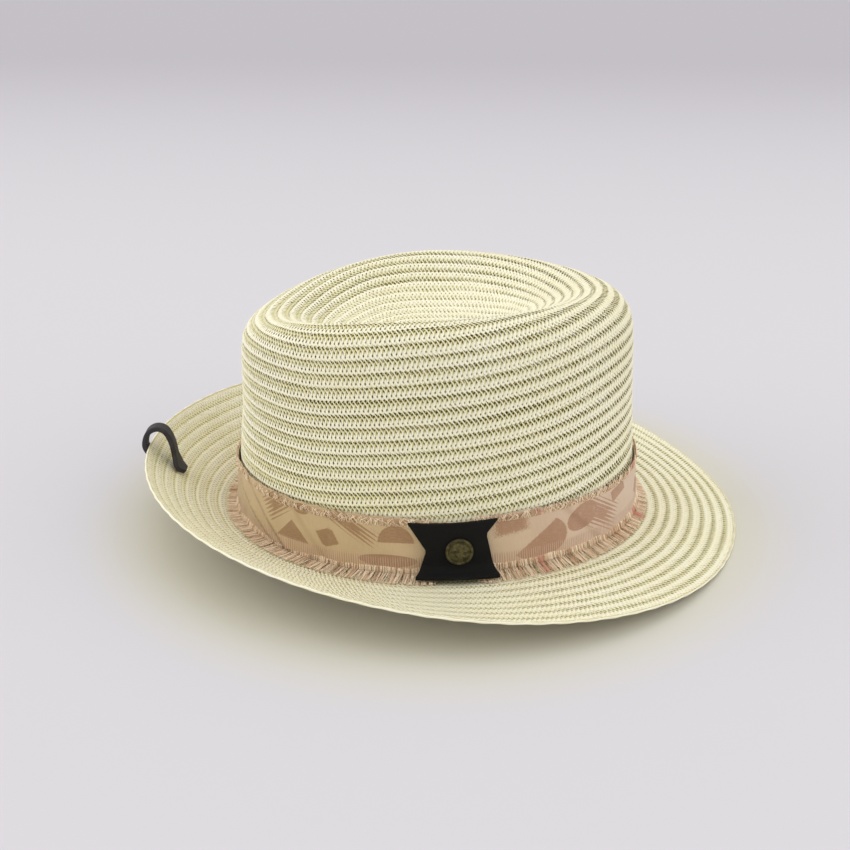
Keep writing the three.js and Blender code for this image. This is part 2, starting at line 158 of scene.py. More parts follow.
@dataclass
class Sheet:
    """A surface of the hat on a grid of angles and distances, with the first angle again at the end."""

    points: np.ndarray
    start: float
    step: float
    normals: np.ndarray = field(init=False)

    def __post_init__(self) -> None:
        """Works out the normals, which the pole of the crown takes from the ring round it."""
        around = np.roll(self.points[:-1], -1, axis=0) - np.roll(self.points[:-1], 1, axis=0)
        around = np.vstack([around, around[:1]])
        self.normals = unit(np.cross(np.gradient(self.points, axis=1), around))
        pole = 4 if self.start == 0 else 0
        self.normals[:, :pole] = self.normals[:, pole : pole + 1]

    def sample(self, angle: np.ndarray, distance: np.ndarray) -> tuple[np.ndarray, np.ndarray]:
        """Points and normals of the surface.

        Args:
            angle: angles round the hat, from the front over the wearer's left.
            distance: distances along the straw.

        Returns:
            The points and the unit normals, one row for each pair.
        """
        turns, columns = self.points.shape[:2]
        a = np.mod(angle / TURN, 1) * (turns - 1)
        d = np.clip((distance - self.start) / self.step, 0, columns - 1.001)
        return between(self.points, a, d), unit(between(self.normals, a, d))


@dataclass
class HatForm:
    """The hat's shape in millimetres, upright on its headline oval."""

    half_length: float = 102.0
    half_width: float = 86.0
    nose_power: float = 1.5
    brim_width: float = 56.0
    brim_shares: tuple[float, float, float] = (1.08, 0.92, 1.0)
    edge_side: float = 10.6
    edge_front: float = -20.0
    edge_back: float = 30.6
    front_arch: float = 2.6
    front_arch_angle: float = 0.34
    curl: float = 0.5
    lean: float = 0.0522
    seat: tuple[float, float, float] = (0.0, 2.2922, 10.2702)
    angles: int = 720
    crown: Sheet = field(init=False)
    brim: Sheet = field(init=False)
    total: np.ndarray = field(init=False)

    def __post_init__(self) -> None:
        """Samples the crown and the brim."""
        self.crown = self._sample_crown()
        self.brim = self._sample_brim()

    def _grid_angles(self) -> np.ndarray:
        """Angles of the grids, with the first one again at the end."""
        return np.linspace(0, TURN, self.angles + 1)

    @staticmethod
    def weights(angle: np.ndarray) -> np.ndarray:
        """Weights of the hat's side, front and back.

        Args:
            angle: angles round the hat.

        Returns:
            One column each for side, front and back, which add up to 1.
        """
        c = np.cos(angle)
        front = np.where(c > 0, c * c, 0)
        back = np.where(c < 0, c * c, 0)
        return np.stack([1 - c * c, front, back], -1)

    def _sample_crown(self, step: float = 0.5, spare: float = 8.0) -> Sheet:
        """Grid of the crown from the middle of the tip to a little past the headline.

        Args:
            step: distance along the straw from one column to the next.
            spare: how far past the headline the grid goes.

        Returns:
            The crown's surface.
        """
        table = np.array([[*s.side, *s.front, *s.back, s.nose] for s in CROWN_SECTIONS], float)
        fine = through_stations(table, 8)
        angles = self._grid_angles()
        weights = self.weights(angles)
        inset = weights @ fine[:, [0, 2, 4]].T
        height = weights @ fine[:, [1, 3, 5]].T
        c = np.cos(angles)[:, None]
        nose = 1 - fine[:, 6] * np.maximum(0, c) ** self.nose_power
        x = (self.half_width - inset) * np.sin(angles)[:, None] * nose
        # The middle of the tip is a short straight line from front to back.
        x[:, 0] = 0
        y = -(self.half_length - inset) * c
        rows = np.stack([x, y, height], -1)
        run = np.cumsum(np.linalg.norm(np.diff(rows, axis=1), axis=2), axis=1)
        run = np.hstack([np.zeros((len(run), 1)), run])
        self.total = run[:, -1]
        distances = np.arange(0, self.total.max() + spare, step)
        grid = np.empty((len(angles), len(distances), 3))
        for k, (row, lengths) in enumerate(zip(rows, run)):
            for axis in range(3):
                grid[k, :, axis] = np.interp(distances, lengths, row[:, axis])
            over = np.maximum(0, distances - lengths[-1])[:, None]
            grid[k] += over * unit(row[-1] - row[-2])
        return Sheet(grid, 0.0, step)

    def _sample_brim(self, step: float = 0.5, inner: float = -4.0, spare: float = 14.0) -> Sheet:
        """Grid of the brim from inside the headline to past its edge.

        Args:
            step: distance across the brim from one column to the next.
            inner: distance of the first column, inside the headline.
            spare: how far past the edge the grid goes.

        Returns:
            The brim's surface.
        """
        angles = self._grid_angles()
        c = np.cos(angles)
        swing = (self.edge_back - self.edge_front) / 2
        bow = (self.edge_back + self.edge_front) / 2 - self.edge_side
        turn = np.abs(np.arctan2(np.sin(angles), c))
        arch = self.front_arch * np.exp(-((turn / self.front_arch_angle) ** 2))
        edge = self.edge_side - swing * c + bow * c * c + arch
        foot = CROWN_SECTIONS[-1]
        start = self.weights(angles) @ np.array([foot.side[1], foot.front[1], foot.back[1]])
        share = (self.weights(angles) @ np.array(self.brim_shares))[:, None]
        chord = np.arcsin((edge - start)[:, None] / (self.brim_width * share))
        distances = np.arange(inner, self.brim_width + spare, step)
        steps = 12
        out = np.zeros((len(angles), len(distances)))
        up = np.zeros_like(out)
        for k in range(steps):
            way = (k + 0.5) / steps * distances / self.brim_width
            tilt = chord * (1 - self.curl + 2 * self.curl * way)
            out += np.cos(tilt) * share * distances / steps
            up += np.sin(tilt) * share * distances / steps
        normal = unit(np.stack([np.sin(angles) / self.half_width, -c / self.half_length], -1))
        x = (self.half_width * np.sin(angles))[:, None] + normal[:, :1] * out
        y = (-self.half_length * c)[:, None] + normal[:, 1:] * out
        return Sheet(np.stack([x, y, start[:, None] + up], -1), inner, step)

    def meridian(self, angle: np.ndarray) -> np.ndarray:
        """Length of straw from the middle of the tip to the headline at each angle."""
        return np.interp(np.mod(angle, TURN), self._grid_angles(), self.total)

    def wall(self, angle: np.ndarray, height: np.ndarray) -> tuple[np.ndarray, np.ndarray]:
        """Points and outward normals of the crown's wall at heights up from its foot."""
        return self.crown.sample(angle, self.meridian(angle) - height)

    def ground(self, on: Ground, angle: np.ndarray, at: np.ndarray) -> tuple[np.ndarray, np.ndarray]:
        """Points and outward normals at heights up the wall or at distances out on the brim."""
        return self.wall(angle, at) if on is Ground.WALL else self.brim.sample(angle, at)

    def settle(self, points: np.ndarray) -> np.ndarray:
        """Points leant back and set down in the frame.

        Args:
            points: points of the upright hat in millimetres.

        Returns:
            The same points in the frame, in metres.
        """
        c, s = math.cos(self.lean), math.sin(self.lean)
        x, y, z = points[..., 0], points[..., 1], points[..., 2]
        leant = np.stack([x, y * c + z * s, z * c - y * s], -1)
        return (leant + np.array(self.seat)) * MM


class Bench:
    """The work bench: the operators with which the pieces are shaped."""

    @staticmethod
    def clear() -> None:
        """Leaves nothing selected."""
        bpy.ops.object.select_all(action="DESELECT")

    @classmethod
    def pick_up(cls, name: str) -> bpy.types.Object:
        """Names the primitive just added and selects it alone.

        Args:
            name: its name.

        Returns:
            The primitive.
        """
        piece = bpy.context.object
        piece.name = name
        cls.take(piece)
        return piece

    @classmethod
    def take(cls, *pieces: bpy.types.Object) -> None:
        """Selects pieces alone.

        Args:
            pieces: the pieces; the last one becomes the active one.
        """
        cls.clear()
        for piece in pieces:
            piece.select_set(True)
        bpy.context.view_layer.objects.active = pieces[-1]

    @staticmethod
    def settle() -> None:
        """Writes the place and turn of the selected primitive into its mesh."""
        bpy.ops.object.transform_apply(location=True, rotation=True, scale=True)

    @staticmethod
    def edit() -> None:
        """Opens the active piece with all its vertices selected."""
        bpy.ops.object.mode_set(mode="EDIT")
        bpy.ops.mesh.select_mode(type="VERT")
        bpy.ops.mesh.select_all(action="SELECT")

    @staticmethod
    def close_ends(sides: int) -> None:
        """In edit mode, closes holes and turns all faces outwards.

        Args:
            sides: how many sides a hole may have.
        """
        bpy.ops.mesh.select_all(action="SELECT")
        bpy.ops.mesh.fill_holes(sides=sides)
        bpy.ops.mesh.select_all(action="SELECT")
        bpy.ops.mesh.normals_make_consistent(inside=False)

    @staticmethod
    def leave() -> None:
        """Goes back to whole pieces."""
        bpy.ops.object.mode_set(mode="OBJECT")

    @staticmethod
    def coordinates(piece: bpy.types.Object) -> np.ndarray:
        """Reads the piece's vertices.

        Args:
            piece: the piece.

        Returns:
            One row for each vertex.
        """
        co = np.empty(len(piece.data.vertices) * 3, np.float32)
        piece.data.vertices.foreach_get("co", co)
        return co.reshape(-1, 3).astype(float)

    @staticmethod
    def bend(piece: bpy.types.Object, points: np.ndarray) -> None:
        """Moves the piece's vertices to these points."""
        piece.data.vertices.foreach_set("co", points.astype(np.float32).ravel())
        piece.data.update()

    @staticmethod
    def mark(piece: bpy.types.Object, name: str, values: np.ndarray) -> None:
        """Writes an attribute that a finish can read.

        Args:
            piece: the piece.
            name: name of the attribute.
            values: a number or a row of three for each vertex.
        """
        kind, entry = ("FLOAT_VECTOR", "vector") if values.ndim == 2 else ("FLOAT", "value")
        attribute = piece.data.attributes.new(name, kind, "POINT")
        attribute.data.foreach_set(entry, values.astype(np.float32).ravel())

    @staticmethod
    def read(piece: bpy.types.Object, name: str) -> np.ndarray:
        """Reads an attribute.

        Args:
            piece: the piece.
            name: name of the attribute.

        Returns:
            A number for each vertex.
        """
        values = np.empty(len(piece.data.vertices), np.float32)
        piece.data.attributes[name].data.foreach_get("value", values)
        return values.astype(float)

    @classmethod
    def modify(cls, piece: bpy.types.Object, kind: str, **settings: object) -> None:
        """Adds a modifier and applies it.

        Args:
            piece: the piece.
            kind: type of the modifier.
            settings: the modifier's settings.
        """
        cls.take(piece)
        modifier = piece.modifiers.new(kind.title(), kind)
        for key, value in settings.items():
            setattr(modifier, key, value)
        bpy.ops.object.modifier_apply(modifier=modifier.name)

    @classmethod
    def array(cls, piece: bpy.types.Object, count: int, pitch: float, merge: float = 0.0) -> None:
        """Repeats a piece along X.

        Args:
            piece: the piece.
            count: how many there are in the end.
            pitch: distance from one to the next.
            merge: distance within which neighbours' vertices join, or 0 for none.
        """
        repeat = {"use_relative_offset": False, "use_constant_offset": True}
        joined = {"use_merge_vertices": merge > 0, "merge_threshold": merge}
        cls.modify(piece, "ARRAY", count=count, constant_offset_displace=(pitch, 0, 0), **repeat, **joined)

    @classmethod
    def join(cls, pieces: list[bpy.types.Object], name: str) -> bpy.types.Object:
        """Joins pieces into one.

        Args:
            pieces: the pieces, of which the last one takes in the others.
            name: name of the new piece.

        Returns:
            The new piece.
        """
        cls.take(*pieces)
        if len(pieces) > 1:
            bpy.ops.object.join()
        piece = bpy.context.view_layer.objects.active
        piece.name = name
        piece.data.name = name
        return piece

    @classmethod
    def seal(cls, piece: bpy.types.Object, merge: float) -> None:
        """Merges doubles, closes open ends and turns the faces outwards.

        Args:
            piece: the piece.
            merge: distance within which vertices are doubles.
        """
        cls.take(piece)
        cls.edit()
        bpy.ops.mesh.remove_doubles(threshold=merge)
        cls.close_ends(8)
        cls.leave()

    @classmethod
    def smooth(cls, piece: bpy.types.Object, angle: float) -> None:
        """Shades the piece smooth where its faces meet at less than that angle."""
        cls.take(piece)
        bpy.ops.object.shade_smooth_by_angle(angle=math.radians(angle))


@dataclass(frozen=True)
class Station:
    """One station of a tape on its way across the plait, in shares of the plait's sizes."""

    across: float
    over: float
    width: float


@dataclass(frozen=True)
class Plait:
    """Flat plait of four paper tapes, as it comes off the spool, in millimetres."""

    pitch: float = 2.15
    width: float = 6.8
    reach: float = 5.9
    thickness: float = 0.46
    wave: float = 0.26
    edge_tape: float = 1.2
    open_tape: float = 1.05
    close_tape: float = 2.6
    low_tape: float = 2.75

    @property
    def repeat(self) -> float:
        """Length of the pattern."""
        return 4 * self.pitch

    def stations(self) -> list[Station]:
        """The way of one tape from the upper edge to the lower and back."""
        return [
            Station(0, 0, self.edge_tape),
            Station(0.25, 1, self.open_tape),
            Station(0.5, -1, self.close_tape),
            Station(0.75, 1, self.low_tape),
            Station(1, 0, self.edge_tape),
            Station(0.75, -1, self.low_tape),
            Station(0.5, 1, self.close_tape),
            Station(0.25, -1, self.open_tape),
            Station(0, 0, self.edge_tape),
        ]

    def _tape(self) -> bpy.types.Object:
        """One tape over one repeat: a lens section drawn out from station to station.

        Returns:
            The tape along +X, marked with its own width and its underside, where the finish paints shade.
        """
        stations = self.stations()
        margin = (self.width - self.reach) / 2
        step = self.pitch / 2
        bpy.ops.mesh.primitive_circle_add(vertices=4, radius=1, rotation=(0, math.pi / 2, 0))
        tape = Bench.pick_up("tape")
        Bench.settle()
        Bench.edit()
        half_width = stations[0].width / 2
        bpy.ops.transform.resize(value=(1, half_width, self.thickness / 2), center_override=(0, 0, 0))
        bpy.ops.transform.translate(value=(0, margin, 0))
        for k, (last, here) in enumerate(zip(stations[:-1], stations[1:])):
            shift = (step, (here.across - last.across) * self.reach, (here.over - last.over) * self.wave)
            bpy.ops.mesh.extrude_region_move(TRANSFORM_OT_translate={"value": shift})
            middle = ((k + 1) * step, margin + here.across * self.reach, here.over * self.wave)
            bpy.ops.transform.resize(value=(1, here.width / last.width, 1), center_override=middle)
        Bench.leave()
        co = Bench.coordinates(tape)
        row = np.rint(co[:, 0] / step).astype(int)
        middle = np.array([margin + s.across * self.reach for s in stations])[row]
        half = np.array([s.width / 2 for s in stations])[row]
        Bench.mark(tape, "across", (co[:, 1] - middle) / half)
        level = np.array([s.over for s in stations])[row] * self.wave
        # The underside is marked for painted shade.
        Bench.mark(tape, "under", (co[:, 2] < level - self.thickness / 4).astype(float))
        return tape

    def spool(self, repeats: int, name: str) -> bpy.types.Object:
        """A straight length of plait.

        Args:
            repeats: how many times the pattern runs.
            name: name of the piece.

        Returns:
            The plait along +X, its upper edge at Y 0, in millimetres.
        """
        tape = self._tape()
        tapes = [tape]
        for k in range(1, 4):
            Bench.take(tape)
            bpy.ops.object.duplicate()
            copy = bpy.context.object
            co = Bench.coordinates(copy)
            co[:, 0] += k * self.pitch
            Bench.bend(copy, co)
            tapes.append(copy)
        for k, copy in enumerate(tapes):
            Bench.mark(copy, "tape", np.full(len(copy.data.vertices), float(k)))
        plait = Bench.join(tapes, name)
        Bench.array(plait, repeats, self.repeat, 0.02)
        return plait


@dataclass
class Course:
    """The way that a length of plait takes over a sheet, and how it is sewn down.

    The edges are the distances of the plait's lower edge at the angles of its way, and the shares say how
    much of its full width it has there.
    """

    sheet: Sheet
    angles: np.ndarray
    edges: np.ndarray
    plait: Plait
    share: np.ndarray
    run: np.ndarray = field(init=False)
    turn: np.ndarray = field(init=False)

    def __post_init__(self) -> None:
        """Measures the way along the middle of the plait."""
        middle = self.edges - self.plait.width * self.share / 2
        self.run = run_along(self.sheet.sample(self.angles, middle)[0])
        self.turn = self._square(middle)

    def _square(
        self, middle: np.ndarray, tiny: float = 0.004, reach: float = 0.5, most: float = 0.75
    ) -> np.ndarray:
        """Turn for each millimetre across that keeps the plait square to its own run.

        Args:
            middle: distances of the plait's middle.
            tiny: step in angle over which the direction round the hat is measured.
            reach: step in distance over which the direction across is measured.
            most: the most that the plait's way across may be slanted.

        Returns:
            Angle for each millimetre across, at each point of the way.
        """
        angles, sample = self.angles, self.sheet.sample
        around = (sample(angles + tiny, middle)[0] - sample(angles - tiny, middle)[0]) / (2 * tiny)
        along = (sample(angles, middle + reach)[0] - sample(angles, middle - reach)[0]) / (2 * reach)
        size = np.maximum((around * around).sum(1), 4)
        limit = most / np.sqrt(size)
        return np.clip(-(around * along).sum(1) / size, -limit, limit)

    @property
    def length(self) -> float:
        """Length of the way in millimetres."""
        return float(self.run[-1])

    def lay(self, flat: np.ndarray, start: float, stretch: float, low: float, high: float) -> np.ndarray:
        """Sews a straight length of plait down along the way.

        Args:
            flat: vertices of the straight plait.
            start: length of the way before it.
            stretch: length of way for each millimetre of plait.
            low: lift of the plait's upper edge, which the row before covers.
            high: lift of its lower edge, which lies over the next row.

        Returns:
            The vertices on the hat, upright, in millimetres.
        """
        run = start + flat[:, 0] * stretch
        share = np.interp(run, self.run, self.share)
        way = flat[:, 1] / self.plait.width
        across = (way - 1) * self.plait.width * share
        middle = across + self.plait.width * share / 2
        laps = np.floor(run / self.length)
        inner = run - np.where(run > self.length, laps * self.length, 0)
        angle = np.interp(inner, self.run, self.angles)
        edge = np.interp(inner, self.run, self.edges)
        turn = np.interp(inner, self.run, self.turn)
        points, normals = self.sheet.sample(angle + turn * middle, edge + across)
        lift = low + (high - low) * way + flat[:, 2]
        return points + normals * lift[:, None]


def unevenness(run: np.ndarray, tape: np.ndarray) -> np.ndarray:
    """Small shifts of hand-fed paper tape, the same on every run of the script.

    Args:
        run: length along the plait.
        tape: number of the tape.

    Returns:
        Shifts along, across and off the plait, one row each.
    """
    along = 0.09 * np.sin(run * 0.83 + 2.1 * tape)
    across = 0.08 * np.sin(run * 0.47 + 4.3 * tape) + 0.06 * np.sin(run * 1.31 + 1.7 * tape)
    off = 0.035 * np.sin(run * 0.71 + 3.3 * tape) + 0.03 * np.sin(run * 0.119)
    return np.stack([along, across, off], -1)


@dataclass(frozen=True)
class Stretch:
    """One piece of the crown's spiral, by the rows at its ends."""

    name: str
    first: float
    last: float
    node: str
    tight: bool


@dataclass
class StrawBody:
    """Crown and brim: one spiral of plait up from the headline to the tip, and rings out to the edge."""

    form: HatForm
    plait: Plait = field(default_factory=Plait)
    tight: Plait = field(
        default_factory=lambda: Plait(wave=0.2, edge_tape=1.6, open_tape=2.3, close_tape=2.7)
    )
    pitch: float = 6.1
    even_rows: float = 26.5
    rows: float = 32.5
    first_row: float = 0.3
    start_angle: float = 7.213
    droop: tuple[float, float] = (-5.6, -11.2)
    droop_from: float = 5.0
    droop_to: float = 90.0
    brim_rows: int = 9
    brim_share: float = 1.16
    crown_share: float = 1.05
    lifts: tuple[float, float] = (-0.12, 0.2)
    brim_lifts: tuple[float, float] = (-0.05, 0.13)
    wobble: tuple[tuple[float, float, float], ...] = ((0.16, 2.17, 0.0), (0.12, 5.31, 1.0))
    waver: float = 0.1
    turn_step: float = 0.002
    narrowest: float = 0.15
    tape_length: float = 37.0
    # Where painted shade goes in the slits: the zone across the plait and its fade, how low a strand lies to
    # be shaded, and how much falls along the tape edges on the crown and on the brim.
    slit_zone: tuple[float, float] = (0.04, 0.52)
    slit_fade: float = 0.1
    slit_level: float = 0.08
    slit_depth: float = 0.16
    rim_share: float = 0.2
    brim_rim_share: float = 0.6
    double: float = 0.01 * MM
    stretches: tuple[Stretch, ...] = (
        Stretch("floor_braid", 0.3, 8.0, "crown_tip", True),
        Stretch("tip_braid", 8.0, 15.0, "crown_tip", False),
        Stretch("wall_braid", 15.0, 23.5, "crown_wall", False),
        Stretch("foot_braid", 23.5, 32.5, "crown_wall", False),
    )
    brim_pieces: tuple[tuple[str, int, int], ...] = (("brim_braid", 1, 5), ("edge_braid", 6, 9))

    def crown_course(self) -> Course:
        """The spiral of the crown: it climbs from the headline, and its rows dip at the sides.

        Returns:
            The spiral's way, from the last row under the headline to the middle of the tip.
        """
        turns = np.arange(self.rows, self.first_row, -self.turn_step)
        angles = self.start_angle - turns * TURN
        c = np.cos(angles)
        dip = self.droop[0] * c + self.droop[1] * c * c
        even = np.minimum(turns, self.even_rows) * self.pitch
        ramp = np.clip((even - self.droop_from) / (self.droop_to - self.droop_from), 0, 1)
        even = even + dip * ramp * ramp * (3 - 2 * ramp)
        hidden = np.clip((turns - self.even_rows) / (self.rows - self.even_rows), 0, 1)
        edges = even + hidden * (self.form.meridian(angles) - even)
        edges = edges + ripple(turns * TURN, self.wobble) * np.clip(turns - 1, 0, 1)
        share = np.clip(edges / self.plait.width, self.narrowest, self.crown_share)
        return Course(self.form.crown, angles, edges, self.plait, share)

    def _sew(
        self, course: Course, name: str, ends: tuple[float, float], ring: bool, tight: bool
    ) -> bpy.types.Object:
        """Makes the stretch of plait between two lengths of a way and sews it down.

        Args:
            course: the way.
            name: name of the piece.
            ends: lengths of the way at the start and the end of the stretch.
            ring: whether it is a whole ring of the brim.
            tight: whether it is of the tight plait.

        Returns:
            The stretch in its place on the hat.
        """
        start, end = ends
        repeats = max(1, round((end - start) / self.plait.repeat))
        stretch = (end - start) / (repeats * self.plait.repeat)
        plait = (self.tight if tight else self.plait).spool(repeats, name)
        flat = Bench.coordinates(plait)
        tape = Bench.read(plait, "tape")
        run = start / stretch + flat[:, 0]
        if ring:
            run = np.mod(run, repeats * self.plait.repeat)
        shifted = flat + unevenness(run, tape)
        low, high = self.brim_lifts if ring else self.lifts
        Bench.bend(plait, self.form.settle(course.lay(shifted, start, stretch, low, high)))
        across = Bench.read(plait, "across")
        number = tape + 4 * np.floor(run / self.tape_length)
        Bench.mark(plait, "braid", np.stack([run, across, number], -1))
        # Painted shade: across the open zone of each row, darkest on strands that lie low and along the tape
        # edges, with the tapes' undersides beside it.
        way = flat[:, 1] / self.plait.width
        zone = np.clip((way - self.slit_zone[0]) / self.slit_fade, 0, 1)
        zone = zone * np.clip((self.slit_zone[1] - way) / self.slit_fade, 0, 1)
        rim = np.abs(across)
        deep = np.clip((self.slit_level - flat[:, 2]) / self.slit_depth, 0, 1)
        slit = zone * (self.brim_rim_share * rim if ring else np.maximum(deep, self.rim_share * rim))
        Bench.mark(plait, "shade", np.stack([slit, Bench.read(plait, "under"), np.zeros_like(slit)], -1))
        return plait

    def _crown(self) -> list[bpy.types.Object]:
        """Makes the crown's stretches of the spiral.

        Returns:
            The stretches, from the middle of the tip to the foot.
        """
        course = self.crown_course()
        turns = np.linspace(self.rows, self.first_row, len(course.run))
        pieces = []
        for stretch in self.stretches:
            lengths = [np.interp(-row, -turns, course.run) for row in (stretch.last, stretch.first)]
            start, end = (round(length / self.plait.repeat) * self.plait.repeat for length in lengths)
            end = course.length - 0.1 if stretch.first == self.first_row else end
            piece = self._sew(course, stretch.name, (start, end), False, stretch.tight)
            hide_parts(stretch.node)
            pieces.append(piece)
        return pieces

    def _brim(self) -> list[bpy.types.Object]:
        """Makes the rings of the brim.

        Returns:
            The inner rings as one piece and the outer rings as another.
        """
        pitch = self.form.brim_width / self.brim_rows
        angles = np.linspace(0, TURN, 2 * self.form.angles + 1)
        share = np.full_like(angles, self.brim_share)
        pieces = []
        for name, first, last in self.brim_pieces:
            rings = []
            for row in range(first, last + 1):
                waver = 0.0 if row == self.brim_rows else self.waver
                edges = row * pitch + waver * np.sin(5 * angles + 1.3 * row)
                ring = Course(self.form.brim, angles, edges, self.plait, share)
                rings.append(self._sew(ring, f"{name}_{row}", (0.0, ring.length), True, row > 1))
            piece = Bench.join(rings, name)
            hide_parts("brim")
            pieces.append(piece)
        return pieces

    def _bead(self, radius: float = 0.6, rough: float = 10.0) -> bpy.types.Object:
        """The cord that is sewn round the brim's edge.

        Args:
            radius: the cord's radius.
            rough: radius of the ring that it is bent from.

        Returns:
            The cord in its place.
        """
        Bench.clear()
        bpy.ops.mesh.primitive_torus_add(
            major_segments=256, minor_segments=6, major_radius=rough, minor_radius=1
        )
        bead = Bench.pick_up("edge_cord")
        co = Bench.coordinates(bead)
        angle = np.arctan2(co[:, 1], co[:, 0])
        out = np.hypot(co[:, 0], co[:, 1]) - rough
        twist = radius * (1 + 0.3 * np.sin(angle * 430 + np.arctan2(co[:, 2], out) * 2))
        points, normals = self.form.brim.sample(angle, self.form.brim_width - 0.1 + out * twist)
        Bench.bend(bead, self.form.settle(points + normals * (co[:, 2] * twist)[:, None]))
        Bench.mark(bead, "braid", np.stack([angle * 150, co[:, 2], np.zeros(len(co))], -1))
        Bench.mark(bead, "shade", np.zeros((len(co), 3)))
        Bench.seal(bead, self.double)
        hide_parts("brim")
        return bead

    def build(self) -> list[bpy.types.Object]:
        """Builds the straw pieces.

        Returns:
            The pieces, from the middle of the tip to the edge of the brim.
        """
        pieces = self._crown() + self._brim()
        for piece in pieces:
            Bench.seal(piece, self.double)
        pieces.append(self._bead())
        for piece in pieces:
            Bench.smooth(piece, 75)
        return pieces


@dataclass(frozen=True)
class Spot:
    """A place on a trimming's way: on the wall at a height or on the brim at a distance, and its lift."""

    on: Ground
    at: float
    lift: float


@dataclass(frozen=True)
class Fold:
    """A pressed fold of the band: its angle at mid height, how it leans, its width and rise."""

    angle: float
    lean: float
    width: float
    rise: float


@dataclass
class HatBand:
    """Woven cloth band round the foot of the crown, its ends under the tab."""

    form: HatForm
    start: float = 4.89
    foot: float = 4.6
    top: float = 28.7
    top_swing: float = 2.3
    top_turn: float = 4.1
    lift: float = 1.5
    thickness: float = 0.45
    overlap: float = 0.04
    middle: float = 16.0
    steep: float = 0.012
    # Where the painted crease shade lies before each fold, and how wide it is.
    crease_before: float = 0.014
    crease_width: float = 0.02
    grid: tuple[int, int] = (1080, 18)
    dip: tuple[float, float] = (2.6, 0.16)
    edge_waves: tuple[tuple[float, float, float], ...] = ((0.22, 61, 0.0), (0.18, 157, 1.0))
    folds: tuple[Fold, ...] = (
        Fold(3.72, -0.02, 0.05, 1.1),
        Fold(3.9, -0.0125, 0.06, 1.5),
        Fold(4.2, -0.008, 0.05, 0.25),
        Fold(5.55, -0.01, 0.06, 0.3),
        Fold(1.2, 0.01, 0.05, 0.8),
    )

    def upper(self, angle: np.ndarray) -> np.ndarray:
        """Height of the cloth's frayed upper edge, which dips under the tab.

        Args:
            angle: angles round the hat.

        Returns:
            The height at each angle.
        """
        turn = np.abs(np.mod(angle - self.start + math.pi, TURN) - math.pi)
        depth, width = self.dip
        edge = self.top + self.top_swing * np.cos(angle - self.top_turn)
        return edge - depth * np.exp(-((turn / width) ** 2)) + ripple(angle, self.edge_waves)

    def rise(self, angle: np.ndarray, height: np.ndarray) -> tuple[np.ndarray, np.ndarray]:
        """How far the folds and slack of the cloth lift it, and where painted shade lies in its creases.

        Args:
            angle: angles round the hat.
            height: heights on the band.

        Returns:
            The rise off the wall, and the strength of painted crease shade from 0 to 1, at each place.
        """
        wrapped = self.start + np.mod(angle - self.start, TURN)
        rise = 0.12 * np.sin(angle * 23 + height * 0.21) + 0.1 * np.sin(angle * 41 - height * 0.13)
        crease = np.zeros_like(angle)
        for fold in self.folds:
            centre = fold.angle if fold.angle >= self.start else fold.angle + TURN
            off = wrapped - centre - fold.lean * (height - self.middle)
            slope = np.where(off > 0, np.exp(-off / fold.width), np.exp(off / self.steep))
            rise = rise + fold.rise * slope
            # Painted shade in the crease just before each fold's steep side.
            pressed = np.exp(-(((off + self.crease_before) / self.crease_width) ** 2))
            crease = np.maximum(crease, pressed * min(fold.rise, 1.0))
        return rise, crease

    def build(self) -> bpy.types.Object:
        """Cloth grid bent round the wall and thickened.

        Returns:
            The cloth of the band.
        """
        Bench.clear()
        bpy.ops.mesh.primitive_grid_add(x_subdivisions=self.grid[0], y_subdivisions=self.grid[1], size=1)
        band = Bench.pick_up("hat_band_cloth")
        co = Bench.coordinates(band)
        share, level = co[:, 0] + 0.5, co[:, 1] + 0.5
        angle = self.start - self.overlap + share * (TURN + 2 * self.overlap)
        height = self.foot + level * (self.upper(angle) - self.foot)
        points, normals = self.form.wall(angle, height)
        lap = 0.7 * np.clip((share - 0.985) / 0.01, 0, 1)
        rise, crease = self.rise(angle, height)
        lift = self.lift + rise + lap
        Bench.bend(band, self.form.settle(points + normals * lift[:, None]))
        round_hat = np.linspace(0, TURN, self.form.angles + 1)
        length = float(run_along(self.form.wall(round_hat, np.full_like(round_hat, 14.0))[0])[-1])
        # The cloth's place along and up the band, and the strength of painted crease shade.
        Bench.mark(band, "cloth", np.stack([(angle - self.start) / TURN * length, height, crease], -1))
        Bench.modify(band, "SOLIDIFY", thickness=self.thickness * MM, offset=1.0)
        Bench.smooth(band, 60)
        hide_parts("hat_band")
        return band


